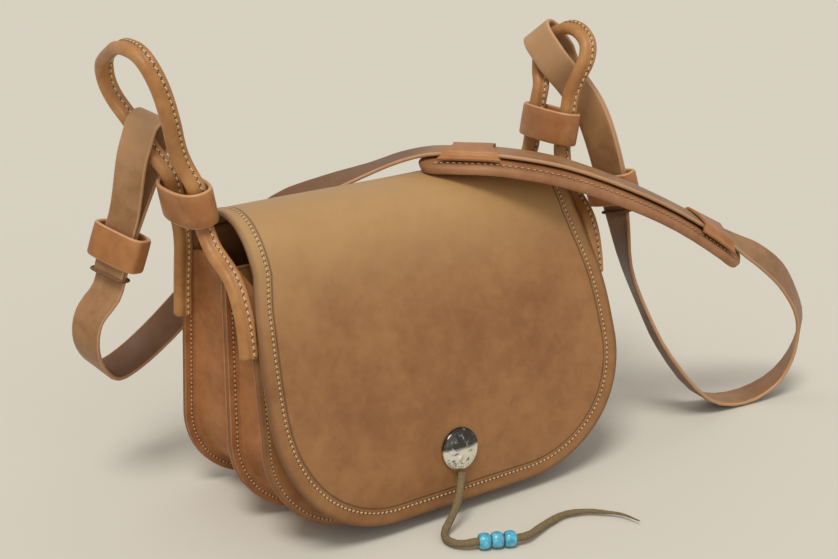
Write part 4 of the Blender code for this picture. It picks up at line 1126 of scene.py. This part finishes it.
def make_bridge(name, node, middle_share, outer):
    """A welt of leather sewn down at the pad's edges, raised over the strap; outer is its open end's way."""
    middle = pad_lengths[-1] * middle_share
    top, foot = STRAP_LEATHER / 2 + 2 * GAP, -STRAP_LEATHER / 2 - PAD_STANDOFF + GAP
    half = STRAP_WIDTH / 2
    shape = [(half + out * MM, foot + up * MM)
             for out, up in ((BRIDGE_FOOT / MM, -1.2), (4.6, -0.3), (2.6, 0.4), (1.2, 1.8))]
    shape += [(half + 0.3 * MM, top - 0.4 * MM), (half - 1.8 * MM, top), (half * 0.5, top + 0.15 * MM)]
    line = smooth_path([(-x, 0.0, z) for x, z in shape] + [(0.0, 0.0, top + 0.25 * MM)] +
                       [(x, 0.0, z) for x, z in reversed(shape)], 3)
    side = np.cross(tangents(line), (0.0, 1.0, 0.0))
    if side[len(side) // 2][2] < 0:
        side = -side
    low_side = line + side * 0.1 * MM
    high_side = line + side * (PAD_LOOP_LEATHER - 0.1 * MM)
    section = [(q[0], q[2]) for q in list(low_side) + list(high_side[::-1])]
    rings = []
    for share in np.linspace(-1, 1, 20):
        ring = []
        for x, z in section:
            cut = (x / (half + BRIDGE_FOOT)) ** 2
            reach = PAD_LOOP_LENGTH / 2 * (1.0 if share * outer < 0 else 0.82) + 5 * MM * cut * abs(share)
            s = min(max(middle + share * reach, 0.0), pad_lengths[-1])
            p, w, n = (sample(s, pad_lengths, table) for table in (pad_points, pad_wide, pad_up))
            ring.append(p + w * x + n * z)
        rings.append(ring)
    piece = loft(name, rings, keeper_skin, sharp=60)
    dress(piece, "bag", "strap_leather", node)


make_bridge("left_bridge", "pad_loop_left", 0.13, -1)
make_bridge("right_bridge", "pad_loop_right", 0.87, 1)


# The lacing at the strap's ends.
def make_lacing(end):
    centre, axis, across, _ = keeper_on_strap(end, KEEPER_HEIGHT / 2 + LACE_DROP)
    axis = unit(axis)
    up = np.cross(axis, across)
    half_width = STRAP_WIDTH / 2 + LACE_RADIUS + 1.0 * GAP
    half_depth = STRAP_LEATHER + LACE_RADIUS + 2.0 * GAP
    rings = []
    for a in turns(64):
        x, z = half_width * signed_power(cos(a), 0.35), half_depth * signed_power(sin(a), 0.35)
        out = unit(across * x * half_depth ** 2 + up * z * half_width ** 2)
        middle = centre + across * x + up * z
        rings.append([middle + LACE_RADIUS * (cos(b) * out + sin(b) * axis) for b in turns(10)])
    piece = loft(end + "_lacing", rings, lace_skin, closed=True, sharp=80)
    dress(piece, "bag", "suede", end + "_strap_lace")


make_lacing("left")
make_lacing("right")


# The closure: an engraved domed cap, and the fittings behind it.
def make_cap():
    outer, inward = front_profile(CONCHO_HEIGHT)
    axis = np.array((0.0, *inward))
    side = np.array((1.0, 0.0, 0.0))
    other = np.cross(axis, side)
    centre = np.array((CONCHO_X, outer, CONCHO_HEIGHT))
    rings = []
    for share in (0.03, 0.1, 0.18, 0.26, 0.34, 0.42, 0.5, 0.58, 0.66, 0.72, 0.78, 0.82, 0.86, 0.9, 0.94, 0.98,
                  1.0):
        ring = []
        for a in turns(120):
            dome = CONCHO_RIM + CONCHO_DOME * sqrt(max(0.0, 1 - share ** 2))
            petal = 0.32 * MM * cos(6 * a) * np.exp(-((share - 0.42) / 0.16) ** 2)
            petal += 0.20 * MM * cos(12 * a) * np.exp(-((share - 0.66) / 0.07) ** 2)
            rope = 0.22 * MM * cos(36 * a) * np.exp(-((share - 0.86) / 0.045) ** 2)
            channel = -0.35 * MM * np.exp(-((share - 0.76) / 0.03) ** 2)
            rise = dome + petal + rope + channel - 0.25 * MM
            ring.append(centre - axis * rise + CONCHO_RADIUS * share * (cos(a) * side + sin(a) * other))
        rings.append(ring)
    behind = FLAP_LEATHER + GAP
    for share, along in ((1.0, -GAP), (0.4, -GAP), (0.2, -GAP), (0.2, behind), (0.07, behind)):
        rings.append([centre + axis * along + CONCHO_RADIUS * share * (cos(a) * side + sin(a) * other)
                      for a in turns(120)])
    piece = loft("cap", rings, silver, sharp=50)
    dress(piece, "flap", "concho_metal", "concho")


make_cap()
for node_name in ("snap_socket", "snap_stud"):
    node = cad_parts[node_name]
    for slot in node.material_slots:
        slot.material = dull_metal
    if not node.material_slots:
        node.data.materials.append(dull_metal)


# The thong and its beads.
thong_points = smooth_path(thong_course(), 8)
thong_points, _ = resample(thong_points, thong_points, 2.0 * MM)
thong_lengths = arc_lengths(thong_points)
total = thong_lengths[-1]
directions = tangents(thong_points)
side = unit(np.cross(directions[0], (1.0, 0.0, 0.1)))
thong_rings = []
for i, (p, d, s) in enumerate(zip(thong_points, directions, thong_lengths)):
    side = unit(side - d * (side @ d))
    up = np.cross(d, side)
    end = max(0.0, (s - total + THONG_TAPER) / THONG_TAPER)
    radius = THONG_RADIUS * (1 - 0.8 * end ** 1.2) * (1 + 0.035 * sin(i * 0.7) + 0.03 * sin(i * 1.9))
    flat = 0.18 * max(0.0, 1 - s / 0.05)
    thong_rings.append([p + radius * ((1 - flat) * cos(a) * side + (1 + flat * 0.9) * sin(a) * up)
                        for a in turns(14)])
tip, way = thong_points[-1], directions[-1]
thong_rings.append([tip + way * 1.2 * MM + (q - tip) * 0.45 for q in thong_rings[-1]])
thong = loft("suede_thong", thong_rings, suede, sharp=80)
dress(thong, "flap", "suede", "thong")


def make_bead(index):
    course_points = thong_course()
    start, end = np.array(course_points[10]), np.array(course_points[12])
    middle, axis = (start + end) / 2, unit(end - start)
    across = unit(np.cross(axis, (0, 0, 1)))
    up = np.cross(across, axis)
    bore, half = THONG_RADIUS + 0.3 * MM, BEAD_LENGTH / 2
    lower = [(bore, -half * 0.9), (bore + 0.8 * MM, -half * 0.97), (BEAD_RADIUS * 0.82, -half * 0.86),
             (BEAD_RADIUS * 0.95, -half * 0.5)]
    upper = [(radius, -along) for radius, along in reversed(lower)]
    line = smooth_path(lower + [(BEAD_RADIUS, 0.0)] + upper, 3)
    centre = middle + axis * (index - (BEAD_COUNT - 1) / 2) * (BEAD_LENGTH + 2 * GAP)
    rings = []
    for angle in turns(40):
        out = cos(angle) * across + sin(angle) * up
        lump = 1 + 0.012 * sin(angle * 3 + index * 2)
        rings.append([centre + out * radius * lump + axis * along for radius, along in line])
    piece = loft(f"stone_bead_{index + 1}", rings, stone, closed=True, sharp=60)
    return dress(piece, "flap", "bead", f"bead_{index + 1}")


beads = [make_bead(i) for i in range(BEAD_COUNT)]


# The set: a plain pale floor, a soft key from the upper left and an even fill.
floor_mesh = bpy.data.meshes.new("floor")
floor_mesh.from_pydata([(-40, -40, 0), (40, -40, 0), (40, 40, 0), (-40, 40, 0)], [], [(0, 1, 2, 3)])
floor = link("floor", floor_mesh)
floor.location = (0, 0, -0.0002)
floor.data.materials.append(Nodes("pale_floor").surface(Base_Color=linear((210, 205, 192)), Roughness=0.95,
                                                        Specular_IOR_Level=0.0))

world = bpy.data.worlds.new("studio")
bpy.context.scene.world = world
world.use_nodes = True
sky = world.node_tree.nodes["Background"].inputs
sky["Color"].default_value = (1.0, 0.985, 0.96, 1)
sky["Strength"].default_value = 0.52


def sun(name, energy, azimuth, elevation, angle, colour=(1, 1, 1)):
    light = bpy.data.lights.new(name, "SUN")
    light.energy = energy
    light.angle = radians(angle)
    light.color = colour
    turn, lift = radians(azimuth), radians(elevation)
    way = Vector((sin(turn) * cos(lift), -cos(turn) * cos(lift), sin(lift)))
    link(name, light).rotation_euler = way.to_track_quat("Z", "Y").to_euler()


sun("key", 1.75, -50, 62, 22, (1.0, 0.975, 0.93))
sun("front_fill", 0.42, -10, 22, 60)

# The view of the photo: its width and its solved focal length, in pixels.
PHOTO_WIDTH_PIXELS = 838
FOCAL_PIXELS = 1625
camera_data = bpy.data.cameras.new("camera")
camera = link("camera", camera_data)
camera.location = (-0.613, -0.8823, 0.5285)
camera.rotation_euler = (pi / 2 - radians(19.4), 0, radians(-35.4))
camera_data.sensor_width = 36
camera_data.lens = FOCAL_PIXELS / PHOTO_WIDTH_PIXELS * camera_data.sensor_width
camera_data.clip_end = 50
bpy.context.scene.camera = camera
bpy.context.scene.view_settings.view_transform = "Standard"
